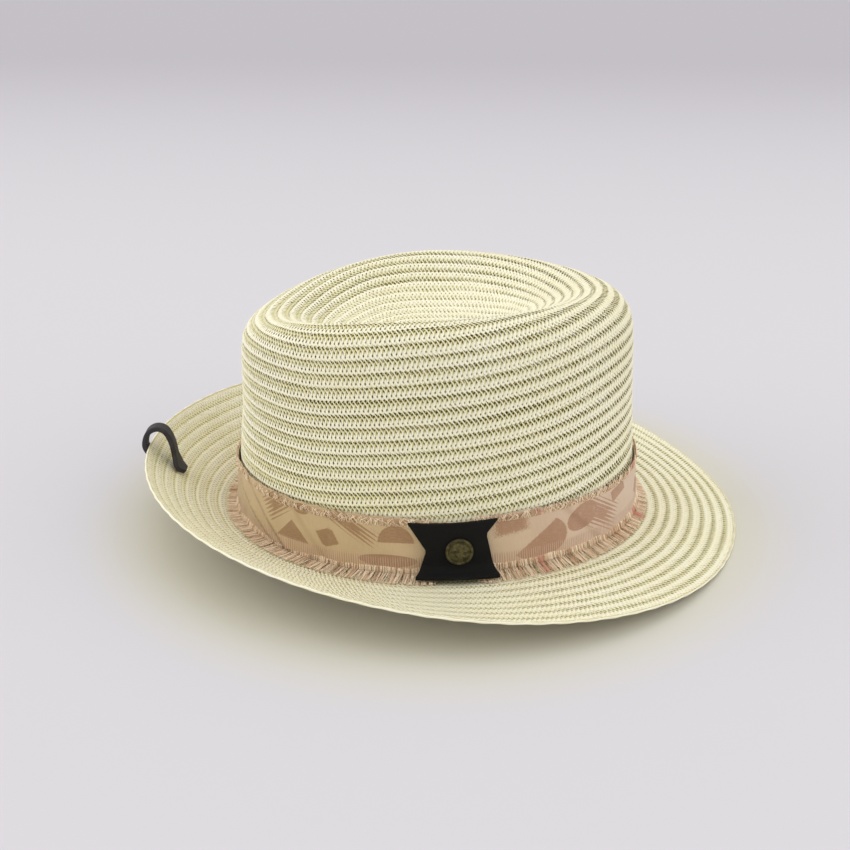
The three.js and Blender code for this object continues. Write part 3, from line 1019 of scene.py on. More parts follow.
@dataclass
class Strands:
    """A row of short threads side by side round the hat, each combed a little its own way.

    A thread follows the route from first to last spot. It sways sideways, and it may end short of the
    last spot. Round the front and the back of the brim its end is drawn in by the share in ends.
    """

    form: HatForm
    name: str
    node: str
    count: int
    route: tuple[Spot, ...]
    radius: float
    seed: int
    sway: float
    shorter: float
    first: float = 4.98
    last: float = 4.8 + TURN
    smoothing: int = 2
    ends: float = 0.0
    spacing: float = 4.0

    def _straight(self, rings: int) -> bpy.types.Object:
        """The threads as they lie straight in a rank, drawn once and repeated.

        Args:
            rings: rings of vertices along each thread, one unit apart.

        Returns:
            The threads along +Y, in units of their radius across.
        """
        Bench.clear()
        bpy.ops.mesh.primitive_circle_add(vertices=4, radius=1, rotation=(math.pi / 2, 0, 0))
        thread = Bench.pick_up(self.name)
        Bench.settle()
        Bench.edit()
        for _ in range(rings - 1):
            bpy.ops.mesh.extrude_region_move(TRANSFORM_OT_translate={"value": (0, 1, 0)})
        Bench.close_ends(4)
        Bench.leave()
        Bench.array(thread, self.count, self.spacing)
        return thread

    def build(self) -> bpy.types.Object:
        """Combs the threads into place.

        Returns:
            The threads as one piece.
        """
        rng = np.random.default_rng(self.seed)
        spots = len(self.route)
        rings = (spots - 1) * self.smoothing + 1
        threads = self._straight(rings)
        place = (np.arange(self.count) + rng.uniform(-0.4, 0.4, self.count)) / self.count
        start = self.first + place * (self.last - self.first)
        clump = np.sin(start * 97) + 0.8 * np.sin(start * 213 + 2) + rng.normal(0, 0.6, self.count)
        bow = rng.normal(0, 0.5, self.count)
        short = self.shorter * rng.uniform(0, 1, self.count) ** 2 + 0.05 * np.sin(start * 61)
        loose = rng.uniform(-0.5, 0.5, self.count)
        places, normals = [], []
        for k, spot in enumerate(self.route):
            way = k / (spots - 1)
            angle = start + self.sway * (clump * way * way + bow * math.sin(math.pi * way))
            before = self.route[max(k - 1, 0)]
            reach = spot.at - before.at if spot.on is before.on else 0.0
            at = np.full(self.count, spot.at) - short * reach * way
            if spot.on is Ground.BRIM:
                at = at * (1 - self.ends * np.cos(angle) ** 2)
            lift = spot.lift + loose * 0.5 * math.sin(math.pi * min(1, way * 1.2))
            point, normal = self.form.ground(spot.on, angle, at)
            places.append((point + normal * lift[:, None]).ravel())
            normals.append(normal.ravel())
        centre = through_stations(np.array(places), self.smoothing).reshape(rings, self.count, 3)
        normal = unit(through_stations(np.array(normals), self.smoothing).reshape(rings, self.count, 3))
        side = unit(np.cross(np.gradient(centre, axis=0), normal))
        co = Bench.coordinates(threads)
        which = np.rint(co[:, 0] / self.spacing).astype(int)
        ring = np.rint(co[:, 1]).astype(int)
        thin = self.radius * (1 - 0.35 * (ring / (rings - 1)) ** 3)
        off = side[ring, which] * (co[:, 0] - self.spacing * which)[:, None]
        off = off + normal[ring, which] * co[:, 2][:, None]
        Bench.bend(threads, self.form.settle(centre[ring, which] + off * thin[:, None]))
        tone = rng.uniform(0, 1, self.count)
        Bench.mark(threads, "thread", np.stack([tone[which], ring / (rings - 1), start[which]], -1))
        Bench.smooth(threads, 180)
        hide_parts(self.node)
        return threads


@dataclass
class Tab:
    """Leather tab in the outline of a bow over the ends of the band, down over the fringe."""

    form: HatForm
    angle: float = 4.89
    thickness: float = 1.7
    over_band: float = 3.75
    over_fringe: float = 3.6
    line: tuple[Spot, ...] = (
        Spot(Ground.BRIM, 11.3, 0.0),
        Spot(Ground.BRIM, 7.6, 0.9),
        Spot(Ground.WALL, 7.5, 0.7),
        Spot(Ground.WALL, 13.0, 0.2),
        Spot(Ground.WALL, 20.0, 0.0),
        Spot(Ground.WALL, 28.8, 0.0),
    )
    left: tuple[tuple[float, float], ...] = (
        (0, 17.6), (0.3, 15.4), (0.5, 13.4), (0.56, 13.3), (0.75, 16.4), (1, 20.6),
    )
    right: tuple[tuple[float, float], ...] = (
        (0, 17.4), (0.3, 16.0), (0.6, 14.7), (0.74, 14.0), (0.8, 14.3), (1, 19.4),
    )
    reach: int = 24
    steps: int = 60
    foot_bow: float = 0.02
    top_bow: float = 0.018
    puff: float = 0.25

    def spine(self, angles: np.ndarray) -> np.ndarray:
        """Lines up the tab.

        Args:
            angles: angles of the lines.

        Returns:
            Points by station, angle and axis, from the foot up.
        """
        rows = []
        for spot in self.line:
            points, normals = self.form.ground(spot.on, angles, np.full(len(angles), spot.at))
            seat = self.over_band if spot.on is Ground.WALL else self.over_fringe
            rows.append((points + normals * (seat + spot.lift)).ravel())
        return through_stations(np.array(rows), 10).reshape(-1, len(angles), 3)

    def surface(self, share: np.ndarray, across: np.ndarray, lift: np.ndarray) -> np.ndarray:
        """Points of the tab.

        Args:
            share: shares of the tab's height, from its foot.
            across: distances from its middle line, less than 0 on the left.
            lift: lifts off its middle.

        Returns:
            One point for each share, distance and lift.
        """
        columns = np.linspace(-self.reach, self.reach, 2 * self.reach + 1)
        spine = self.spine(self.angle + columns / self.form.half_length)
        lines = np.stack([evenly(spine[:, k], self.steps + 1) for k in range(len(columns))], 1)
        outward = unit(np.cross(np.gradient(lines, axis=1), np.gradient(lines, axis=0)))
        row = np.clip(share, 0, 0.9999) * self.steps
        column = np.clip((across + self.reach) / (2 * self.reach), 0, 0.9999) * 2 * self.reach
        return between(lines, row, column) + between(outward, row, column) * lift[:, None]

    def build(self) -> bpy.types.Object:
        """Grid cut to the bow's outline, bent over the band and thickened.

        Returns:
            The tab.
        """
        Bench.clear()
        bpy.ops.mesh.primitive_grid_add(x_subdivisions=40, y_subdivisions=50, size=1)
        tab = Bench.pick_up("leather_tab")
        co = Bench.coordinates(tab)
        share, side = co[:, 1] + 0.5, co[:, 0] * 2
        left = np.interp(share, *zip(*self.left))
        right = np.interp(share, *zip(*self.right))
        across = side * np.where(side < 0, left, right)
        bulge = 1 - side * side
        foot = np.clip(share - self.foot_bow * bulge * (1 - share), 0, 1)
        top = share + self.top_bow * bulge * (1 - 2 * share)
        puff = self.puff * np.cos(side * math.pi / 2) * np.sin(share * math.pi)
        placed = self.surface(np.where(share < 0.5, foot, top), across, puff - self.thickness / 2)
        Bench.bend(tab, self.form.settle(placed))
        Bench.modify(tab, "SOLIDIFY", thickness=self.thickness * MM, offset=1.0)
        Bench.modify(tab, "BEVEL", width=0.35 * MM, segments=2, limit_method="ANGLE")
        Bench.smooth(tab, 50)
        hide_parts("band_tab")
        return tab


@dataclass
class SnapCap:
    """Press stud on the tab: a shallow pan with a rolled rim and a plain petal wheel in it."""

    form: HatForm
    tab: Tab
    radius: float = 6.4
    across: float = 1.4
    share: float = 0.53
    seat: float = 0.9
    profile: tuple[tuple[float, float], ...] = (
        (0.9, 0.0), (1.0, 0.6), (1.0, 1.25), (0.96, 1.6), (0.88, 1.72),
        (0.8, 1.6), (0.76, 1.25), (0.6, 1.4), (0.3, 1.6),
    )
    petals: int = 7

    def _pan(self) -> bpy.types.Object:
        """The pan, drawn ring by ring out of one circle.

        Returns:
            The pan, closed at its back and in its middle.
        """
        Bench.clear()
        bpy.ops.mesh.primitive_circle_add(vertices=64, radius=self.radius * self.profile[0][0])
        pan = Bench.pick_up("pan")
        Bench.edit()
        for (before, low), (after, high) in zip(self.profile[:-1], self.profile[1:]):
            bpy.ops.mesh.extrude_region_move(TRANSFORM_OT_translate={"value": (0, 0, high - low)})
            bpy.ops.transform.resize(value=(after / before, after / before, 1), center_override=(0, 0, high))
        bpy.ops.mesh.select_all(action="SELECT")
        bpy.ops.mesh.fill_holes(sides=64)
        Bench.leave()
        return pan

    def _petal(self, turn: float) -> bpy.types.Object:
        """One petal of the wheel.

        Args:
            turn: angle to which it is turned.

        Returns:
            The petal in its place on the pan.
        """
        Bench.clear()
        bpy.ops.mesh.primitive_uv_sphere_add(segments=14, ring_count=8, radius=1, location=(0, 0, 0))
        petal = Bench.pick_up("petal")
        Bench.edit()
        bpy.ops.transform.resize(value=(1.35, 0.62, 0.3), center_override=(0, 0, 0))
        bpy.ops.transform.translate(value=(self.radius * 0.42, 0, 1.42))
        bpy.ops.transform.rotate(value=turn, orient_axis="Z", center_override=(0, 0, 0))
        Bench.leave()
        return petal

    def _ring(self) -> bpy.types.Object:
        """The thin ring round the petals.

        Returns:
            The ring in its place on the pan.
        """
        Bench.clear()
        segments = {"major_segments": 64, "minor_segments": 8}
        radii = {"major_radius": self.radius * 0.7, "minor_radius": 0.16}
        bpy.ops.mesh.primitive_torus_add(location=(0, 0, 1.36), **segments, **radii)
        ring = Bench.pick_up("ring")
        Bench.settle()
        return ring

    def build(self) -> bpy.types.Object:
        """Makes the cap and sets it square on the tab.

        Returns:
            The cap.
        """
        parts = [self._pan()]
        for k in range(self.petals):
            parts.append(self._petal(k * TURN / self.petals))
        parts.append(self._ring())
        cap = Bench.join(parts, "snap_stud")
        Bench.seal(cap, 0.0001)
        shares = np.array([self.share, self.share + 0.04, self.share])
        sides = np.array([self.across, self.across, self.across + 2])
        here, above, beside = self.tab.surface(shares, sides, np.full(3, self.seat))
        right = unit(beside - here)
        out = unit(np.cross(right, above - here))
        up = np.cross(out, right)
        co = Bench.coordinates(cap)
        Bench.bend(cap, self.form.settle(here + co[:, :1] * right + co[:, 1:2] * up + co[:, 2:] * out))
        Bench.smooth(cap, 40)
        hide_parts("snap_cap")
        return cap


@dataclass
class KeeperLoop:
    """Loop of flat leather strap over the back edge of the brim."""

    form: HatForm
    angle: float = 3.27
    width: float = 7.4
    thickness: float = 2.5
    rows: int = 100
    flare: tuple[float, float, float] = (0.55, 0.9, 0.06)
    taper: tuple[float, float] = (0.2, 0.96)
    route: tuple[tuple[float, float], ...] = (
        (-14, -1.9), (-8, -1.9), (-2, -2.6), (2.4, -1.2), (6.4, 3.8), (6.3, 8.9),
        (1.9, 11.7), (-5.8, 10.1), (-12.9, 5.7), (-17.8, 2.8), (-22.6, 2.2),
    )

    def build(self) -> bpy.types.Object:
        """Strap grid bent along the loop's way, thickened and rounded.

        Returns:
            The loop.
        """
        out, seat = np.array(self.route, float).T
        points, normals = self.form.brim.sample(np.full(len(out), self.angle), self.form.brim_width + out)
        side = np.array([math.cos(self.angle), math.sin(self.angle), 0.0])
        lines = evenly(through_stations(points + normals * seat[:, None], 12), self.rows + 1)
        Bench.clear()
        bpy.ops.mesh.primitive_grid_add(x_subdivisions=6, y_subdivisions=self.rows, size=1)
        loop = Bench.pick_up("leather_loop")
        co = Bench.coordinates(loop)
        part = np.clip(co[:, 1] + 0.5, 0, 1)
        row = np.rint(part * self.rows).astype(int)
        more, at, reach = self.flare
        less, after = self.taper
        swell = more * np.exp(-(((part - at) / reach) ** 2))
        half = self.width / 2 * (1 + swell - less * np.clip((part - after) / (1 - after), 0, 1))
        Bench.bend(loop, self.form.settle(lines[row] + side * (co[:, 0] * 2 * half)[:, None]))
        Bench.modify(loop, "SOLIDIFY", thickness=self.thickness * MM, offset=0.0)
        Bench.modify(loop, "BEVEL", width=0.6 * MM, segments=2, limit_method="ANGLE")
        Bench.seal(loop, 0.000001)
        Bench.smooth(loop, 60)
        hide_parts("brim_loop")
        return loop


class Socket:
    """A node's output with arithmetic: an expression adds its Math nodes."""

    def __init__(self, graph: "Graph", output: bpy.types.NodeSocket) -> None:
        """Keeps the output and the graph that it is in."""
        self.graph = graph
        self.output = output

    def _math(self, operation: str, *values: "Value") -> "Socket":
        """One Math node on these values."""
        return self.graph.node("ShaderNodeMath", {"operation": operation}, dict(enumerate(values)))

    def __add__(self, other: "Value") -> "Socket":
        """Sum."""
        return self._math("ADD", self, other)

    __radd__ = __add__

    def __sub__(self, other: "Value") -> "Socket":
        """Difference."""
        return self._math("SUBTRACT", self, other)

    def __rsub__(self, other: "Value") -> "Socket":
        """Difference the other way round."""
        return self._math("SUBTRACT", other, self)

    def __mul__(self, other: "Value") -> "Socket":
        """Product."""
        return self._math("MULTIPLY", self, other)

    __rmul__ = __mul__

    def __truediv__(self, other: "Value") -> "Socket":
        """Quotient."""
        return self._math("DIVIDE", self, other)

    def __rtruediv__(self, other: "Value") -> "Socket":
        """Quotient the other way round."""
        return self._math("DIVIDE", other, self)

    def __neg__(self) -> "Socket":
        """Opposite."""
        return self._math("MULTIPLY", self, -1.0)

    def __abs__(self) -> "Socket":
        """Size without its sign."""
        return self._math("ABSOLUTE", self)

    def sine(self) -> "Socket":
        """Sine."""
        return self._math("SINE", self)

    def most(self, other: "Value") -> "Socket":
        """The larger of two."""
        return self._math("MAXIMUM", self, other)

    def wrapped(self, length: float) -> "Socket":
        """What is left after whole lengths are taken away."""
        return self._math("FLOORED_MODULO", self, length)

    def step(self, low: float, high: float) -> "Socket":
        """Smooth step from 0 to 1.

        Args:
            low: value at which the step is 0.
            high: value at which it is 1, which may be below low.

        Returns:
            The step.
        """
        ends = {"From Min": low, "From Max": high}
        if low > high:
            ends = {"From Min": high, "From Max": low, "To Min": 1.0, "To Max": 0.0}
        settings = {"interpolation_type": "SMOOTHSTEP"}
        return self.graph.node("ShaderNodeMapRange", settings, {"Value": self, **ends})


Value = Union[Socket, float]
Colour = tuple[float, float, float]
Tint = Union[Socket, Colour]


def srgb(red: int, green: int, blue: int) -> Colour:
    """Linear colour of an sRGB colour."""
    shares = (red / 255, green / 255, blue / 255)
    return tuple(((c + 0.055) / 1.055) ** 2.4 if c > 0.04045 else c / 12.92 for c in shares)


class Graph:
    """The node tree of one finish."""

    def __init__(self, name: str) -> None:
        """Starts an empty material.

        Args:
            name: name of the material.
        """
        self.material = bpy.data.materials.new(name)
        self.material.use_nodes = True
        self.tree = self.material.node_tree
        self.tree.nodes.clear()

    def node(
        self, kind: str, settings: dict[str, object], sockets: dict, output: Union[int, str] = 0
    ) -> Socket:
        """Adds a node.

        Args:
            kind: the node's type.
            settings: its settings, which are set first.
            sockets: values or links of its sockets.
            output: the output that is wanted.

        Returns:
            That output.
        """
        made = self.tree.nodes.new(kind)
        for key, value in settings.items():
            setattr(made, key, value)
        for key, value in sockets.items():
            socket = made.inputs[key]
            if isinstance(value, Socket):
                self.tree.links.new(value.output, socket)
            else:
                socket.default_value = (*value, 1) if socket.type == "RGBA" else value
        return Socket(self, made.outputs[output])

    def attribute(self, name: str) -> tuple[Socket, ...]:
        """The three numbers of an attribute of the piece."""
        return self.split(self.node("ShaderNodeAttribute", {"attribute_name": name}, {}, "Vector"))

    def place(self) -> Socket:
        """Place on the piece, in metres."""
        return self.node("ShaderNodeTexCoord", {}, {}, "Object")

    def split(self, vector: Socket) -> tuple[Socket, ...]:
        """The three numbers of a vector."""
        made = self.node("ShaderNodeSeparateXYZ", {}, {0: vector}).output.node
        return tuple(Socket(self, output) for output in made.outputs)

    def vector(self, x: Value, y: Value, z: Value = 0.0) -> Socket:
        """A vector of three numbers."""
        return self.node("ShaderNodeCombineXYZ", {}, {0: x, 1: y, 2: z})

    def noise(self, vector: Socket, scale: float, detail: float = 3, roughness: float = 0.5) -> Socket:
        """Cloudy noise from 0 to 1."""
        sockets = {"Vector": vector, "Scale": scale, "Detail": detail, "Roughness": roughness}
        return self.node("ShaderNodeTexNoise", {}, sockets)

    def blend(self, share: Value, low: Tint, high: Tint, way: str = "MIX") -> Socket:
        """Mixes two colours."""
        settings = {"data_type": "RGBA", "blend_type": way, "clamp_factor": True}
        return self.node("ShaderNodeMix", settings, {0: share, 6: low, 7: high}, 2)

    def bump(self, height: Socket, strength: float, distance: float) -> Socket:
        """Normal that a height gives the surface."""
        sockets = {"Height": height, "Strength": strength, "Distance": distance}
        return self.node("ShaderNodeBump", {}, sockets)

    def finish(self, sockets: dict[str, object]) -> bpy.types.Material:
        """Ends the tree in a surface with these sockets.

        Args:
            sockets: values and links of the Principled shader.

        Returns:
            The material.
        """
        surface = self.node("ShaderNodeBsdfPrincipled", {}, sockets)
        end = self.tree.nodes.new("ShaderNodeOutputMaterial")
        self.tree.links.new(surface.output, end.inputs["Surface"])
        return self.material


@dataclass(frozen=True)
class StrawFinish:
    """Ivory paper tape: fine creases along each tape, a little tone from tape to tape, painted shade in the
    slits, along the edges and on the undersides.
    """

    name: str = "straw"
    light: Colour = srgb(255, 254, 237)
    deep: Colour = srgb(249, 243, 211)
    # The next four colours are painted shade: the dark of the slits, their olive tint, the tapes' undersides
    # and the lines along the tape edges.
    slit: Colour = (0.12, 0.1, 0.03)
    slit_shade_tint: Colour = (0.88, 0.85, 0.46)
    back: Colour = (0.3, 0.25, 0.12)
    edge_shade: Colour = (0.55, 0.47, 0.27)

    def make(self) -> bpy.types.Material:
        """Builds the material.

        Returns:
            The material.
        """
        g = Graph(self.name)
        run, across, tape = g.attribute("braid")
        crease = g.noise(g.vector(run * 0.35, across * 2.6, tape * 3.7), 1.6, 4, 0.65)
        tone = g.noise(g.vector(run * 0.02, tape * 9.1, 0.0), 1.0, 1)
        cloud = g.noise(g.place(), 22, 3)
        colour = g.blend((crease * 0.45 + tone * 0.3 + cloud * 0.35).step(0.3, 0.8), self.deep, self.light)
        slit, under, _ = g.attribute("shade")
        # Painted shade: thin dark lines along the tape edges, where the strands meet.
        colour = g.blend(abs(across).step(0.72, 0.95) * 0.75, colour, self.edge_shade, "MULTIPLY")
        # Painted shade: an olive tint over the slit zone of each row.
        colour = g.blend(slit.step(0.0, 0.45), colour, self.slit_shade_tint, "MULTIPLY")
        # Painted shade: the slits darkened almost to black.
        colour = g.blend(slit * 0.95, colour, self.slit, "MULTIPLY")
        # Painted shade: the tapes' undersides, seen inside the hat, darkened.
        colour = g.blend(under.step(0.2, 0.7), colour, self.back, "MULTIPLY")
        ridge = crease + (1 - abs(across)).step(0.0, 0.5) * 0.25
        return g.finish({
            "Base Color": colour,
            "Roughness": 0.4 + crease * 0.25,
            "Normal": g.bump(ridge, 0.55, 0.00025),
            "Specular IOR Level": 0.2,
            "Subsurface Weight": 0.05,
            "Subsurface Radius": (1.0, 0.85, 0.5),
            "Subsurface Scale": 0.0012,
        })


class Shape(Enum):
    """Plain shapes that the band's weave shows."""

    TRIANGLE = "triangle"
    WEDGE = "wedge"
    LOZENGE = "lozenge"
    OVAL = "oval"
    DOME = "dome"
    BLOCK = "block"
    STRIPES = "stripes"


@dataclass(frozen=True)
class Motif:
    """One shape of the weave: its place in the repeat and half sizes in mm, its turn and raggedness."""

    shape: Shape
    along: float
    up: float
    wide: float
    high: float
    turn: float = 0.0
    ragged: float = 0.06


MOTIFS = (
    Motif(Shape.TRIANGLE, -75, 15.2, 9.5, 5.0),
    Motif(Shape.LOZENGE, -55.5, 16.4, 6.0, 4.6, -0.35, 0.16),
    Motif(Shape.OVAL, -69, 27.6, 4.6, 2.7),
    Motif(Shape.STRIPES, -86, 25, 6.5, 5.5, 0.7, 0.3),
    Motif(Shape.STRIPES, -44, 24.6, 10.5, 3.6, -0.55, 0.3),
    Motif(Shape.DOME, -24.5, 22.2, 7.6, 4.2),
    Motif(Shape.OVAL, -28.5, 8.8, 12.5, 3.1),
    Motif(Shape.BLOCK, 24, 24, 7.2, 4.2, 0.12, 0.6),
    Motif(Shape.WEDGE, 36.6, 14.6, 12, 8.8, 0.0, 0.1),
    Motif(Shape.OVAL, 60.5, 19.6, 9.5, 6.2, 0.35, 0.12),
    Motif(Shape.STRIPES, 73, 17, 11, 6.4, -0.5, 0.35),
    Motif(Shape.BLOCK, 88, 23.4, 6.4, 3.0, 0.25, 0.05),
    Motif(Shape.LOZENGE, 118, 14, 6, 4.6, 0.2, 0.12),
    Motif(Shape.DOME, 137, 23, 8, 4.0),
)


@dataclass(frozen=True)
class BandFinish:
    """Woven cloth: beige to dusty pink ground, the beige partly painted warm bounce light, brown motifs,
    open warp at its foot, painted shade in its creases.
    """

    name: str = "band_weave"
    repeat: float = 293.4
    sand: Colour = srgb(198, 176, 142)
    pink: Colour = srgb(212, 190, 174)
    brown: Colour = srgb(150, 118, 88)
    rose: Colour = srgb(168, 128, 108)
    warp: Colour = srgb(168, 124, 104)
    gloss: Colour = (0.86, 0.78, 0.66)
    soil: Colour = (0.62, 0.5, 0.4)
    # Painted shade for the creases.
    fold: Colour = (0.5, 0.4, 0.3)

    def _motif(self, g: Graph, motif: Motif, along: Socket, up: Socket, fuzz: Socket) -> Socket:
        """How much of one motif shows.

        Args:
            g: the graph.
            motif: the motif.
            along: place along the band in mm.
            up: height on the band in mm.
            fuzz: noise that frays the outline.

        Returns:
            1 on the motif, 0 off it.
        """
        dx = (along - (motif.along - self.repeat / 2)).wrapped(self.repeat) - self.repeat / 2
        dy = up - motif.up
        c, s = math.cos(motif.turn), math.sin(motif.turn)
        x = (dx * c + dy * s) / motif.wide
        y = (dy * c - dx * s) / motif.high
        if motif.shape is Shape.TRIANGLE:
            far = (abs(x) * 2 + y).most(-y)
        elif motif.shape is Shape.WEDGE:
            far = (y - x + 0.8).most(-y).most((x * x + y * y) * 0.72)
        elif motif.shape is Shape.LOZENGE:
            far = (abs(x) + abs(y) * 0.8).most(abs(y))
        elif motif.shape is Shape.OVAL:
            far = x * x + y * y
        elif motif.shape is Shape.DOME:
            far = (x * x + (y + 1) * (y + 1) * 0.25).most(-y)
        elif motif.shape is Shape.BLOCK:
            far = abs(x).most(abs(y))
        else:
            far = abs(x).most(abs(y)) + (y * (TURN * motif.high / 1.9) + x * 2).sine() * 0.45 + 0.2
        return (far + fuzz * motif.ragged).step(1.05, 0.97)

    def make(self) -> bpy.types.Material:
        """Builds the material.

        Returns:
            The material.
        """
        g = Graph(self.name)
        along, up, crease = g.attribute("cloth")
        fuzz = g.noise(g.vector(along * 1.1, up * 4.5, 0.0), 1.0, 3, 0.7) * 4 - 2
        shown = self._motif(g, MOTIFS[0], along, up, fuzz)
        for motif in MOTIFS[1:]:
            shown = shown.most(self._motif(g, motif, along, up, fuzz))
        # Round the band the ground goes from dusty pink to sand; the sand side is partly the cloth's own
        # colour and partly painted warm bounce light from the straw.
        shade = (along * (TURN / (2 * self.repeat))).sine().step(-0.7, 0.8)
        ground = g.blend(shade, self.sand, self.pink)
        figure = g.blend(shade, self.brown, self.rose)
        slub = g.noise(g.vector(along * 2.6, up * 0.16, 3.0), 1.0, 3, 0.6)
        weft = g.noise(g.vector(along * 0.35, up * 5.5, 7.0), 1.0, 2, 0.6)
        patch = g.noise(g.vector(along * 0.09, up * 0.12, 1.0), 1.0, 2, 0.5)
        open_warp = up.step(11.6, 9.6)
        ladder = (along * (TURN / 1.05) + slub * 3).sine().step(-0.6, 0.7)
        colour = g.blend(shown * (0.5 + weft.step(0.25, 0.6) * 0.45), ground, figure)
        colour = g.blend(open_warp * 0.45, colour, g.blend(ladder, self.warp, self.pink))
        thick = (slub * 0.7 + weft * 0.5).step(0.25, 0.95)
        colour = g.blend(thick * 0.5, colour, self.gloss, "SOFT_LIGHT")
        colour = g.blend(patch * 0.4, colour, self.soil, "MULTIPLY")
        # Painted shade darkens the creases.
        colour = g.blend(crease * 0.9, colour, self.fold, "MULTIPLY")
        warp_thread = (along * (TURN / 0.55)).sine() * 0.5 + 0.5
        weft_thread = (up * (TURN / 0.5)).sine() * 0.5 + 0.5
        weave = warp_thread * 0.35 + weft_thread * 0.3 + slub * 0.6
        height = weave + fuzz * shown * 0.25 + ladder * open_warp * 0.9
        return g.finish({
            "Base Color": colour,
            "Roughness": 0.78 + weft * 0.15,
            "Normal": g.bump(height, 0.6, 0.00022),
            "Specular IOR Level": 0.25,
            "Sheen Weight": 0.25,
            "Sheen Roughness": 0.5,
        })


@dataclass(frozen=True)
class ThreadFinish:
    """Warp threads of fringe and fray: pale pink to sand, with a few rose ones."""

    name: str = "fringe_thread"
    pale: Colour = srgb(250, 232, 208)
    deep: Colour = srgb(196, 156, 122)
    rose: Colour = srgb(205, 112, 104)
    rose_at: tuple[tuple[float, float], ...] = ((5.285, 0.022), (6.05, 0.03), (0.7, 0.03), (2.2, 0.04))

    def make(self) -> bpy.types.Material:
        """Builds the material.

        Returns:
            The material.
        """
        g = Graph(self.name)
        tone, way, angle = g.attribute("thread")
        twist = g.noise(g.vector(way * 30, tone * 50, angle * 3), 1.0, 2, 0.6)
        colour = g.blend((tone * 0.75 + twist * 0.4).step(0.15, 0.85), self.deep, self.pale)
        near = (abs(angle - self.rose_at[0][0]) / self.rose_at[0][1]).step(1.1, 0.7)
        for place, reach in self.rose_at[1:]:
            near = near.most((abs(angle - place) / reach).step(1.1, 0.7))
        colour = g.blend(near * tone.step(0.2, 0.6) * 0.85, colour, self.rose)
        return g.finish({
            "Base Color": colour,
            "Roughness": 0.7 + twist * 0.2,
            "Normal": g.bump(twist, 0.4, 0.0001),
            "Specular IOR Level": 0.3,
            "Sheen Weight": 0.2,
        })


@dataclass(frozen=True)
class LeatherFinish:
    """Dull leather with a fine grain."""

    name: str
    tone: Colour
    worn: Colour
    roughness: float = 0.5

    def make(self) -> bpy.types.Material:
        """Builds the material.

        Returns:
            The material.
        """
        g = Graph(self.name)
        place = g.place()
        edges = {"feature": "DISTANCE_TO_EDGE"}
        grain = g.node("ShaderNodeTexVoronoi", edges, {"Vector": place, "Scale": 1500.0})
        pores = g.noise(place, 2600, 2, 0.6)
        wear = g.noise(place, 160, 4, 0.6)
        return g.finish({
            "Base Color": g.blend(wear.step(0.45, 0.75) * 0.6, self.tone, self.worn),
            "Roughness": self.roughness + wear * 0.18,
            "Normal": g.bump(grain.step(0.0, 0.12) + pores * 0.5, 0.35, 0.00012),
            "Specular IOR Level": 0.25,
        })


BLACK_LEATHER = LeatherFinish("black_leather", srgb(4, 4, 5), srgb(9, 9, 10), 0.7)
GREY_LEATHER = LeatherFinish("grey_leather", srgb(52, 50, 55), srgb(74, 72, 78))


@dataclass(frozen=True)
class MetalFinish:
    """Dark olive gunmetal, a little worn."""

    name: str = "gunmetal"
    tone: Colour = srgb(98, 92, 64)
    dark: Colour = srgb(58, 54, 38)

    def make(self) -> bpy.types.Material:
        """Builds the material.

        Returns:
            The material.
        """
        g = Graph(self.name)
        place = g.place()
        wear = g.noise(place, 420, 4, 0.65)
        scratch = g.noise(place, 3000, 2, 0.6)
        return g.finish({
            "Base Color": g.blend(wear.step(0.35, 0.65), self.dark, self.tone),
            "Metallic": 0.85,
            "Roughness": 0.34 + wear * 0.2,
            "Normal": g.bump(scratch, 0.15, 0.00005),
        })


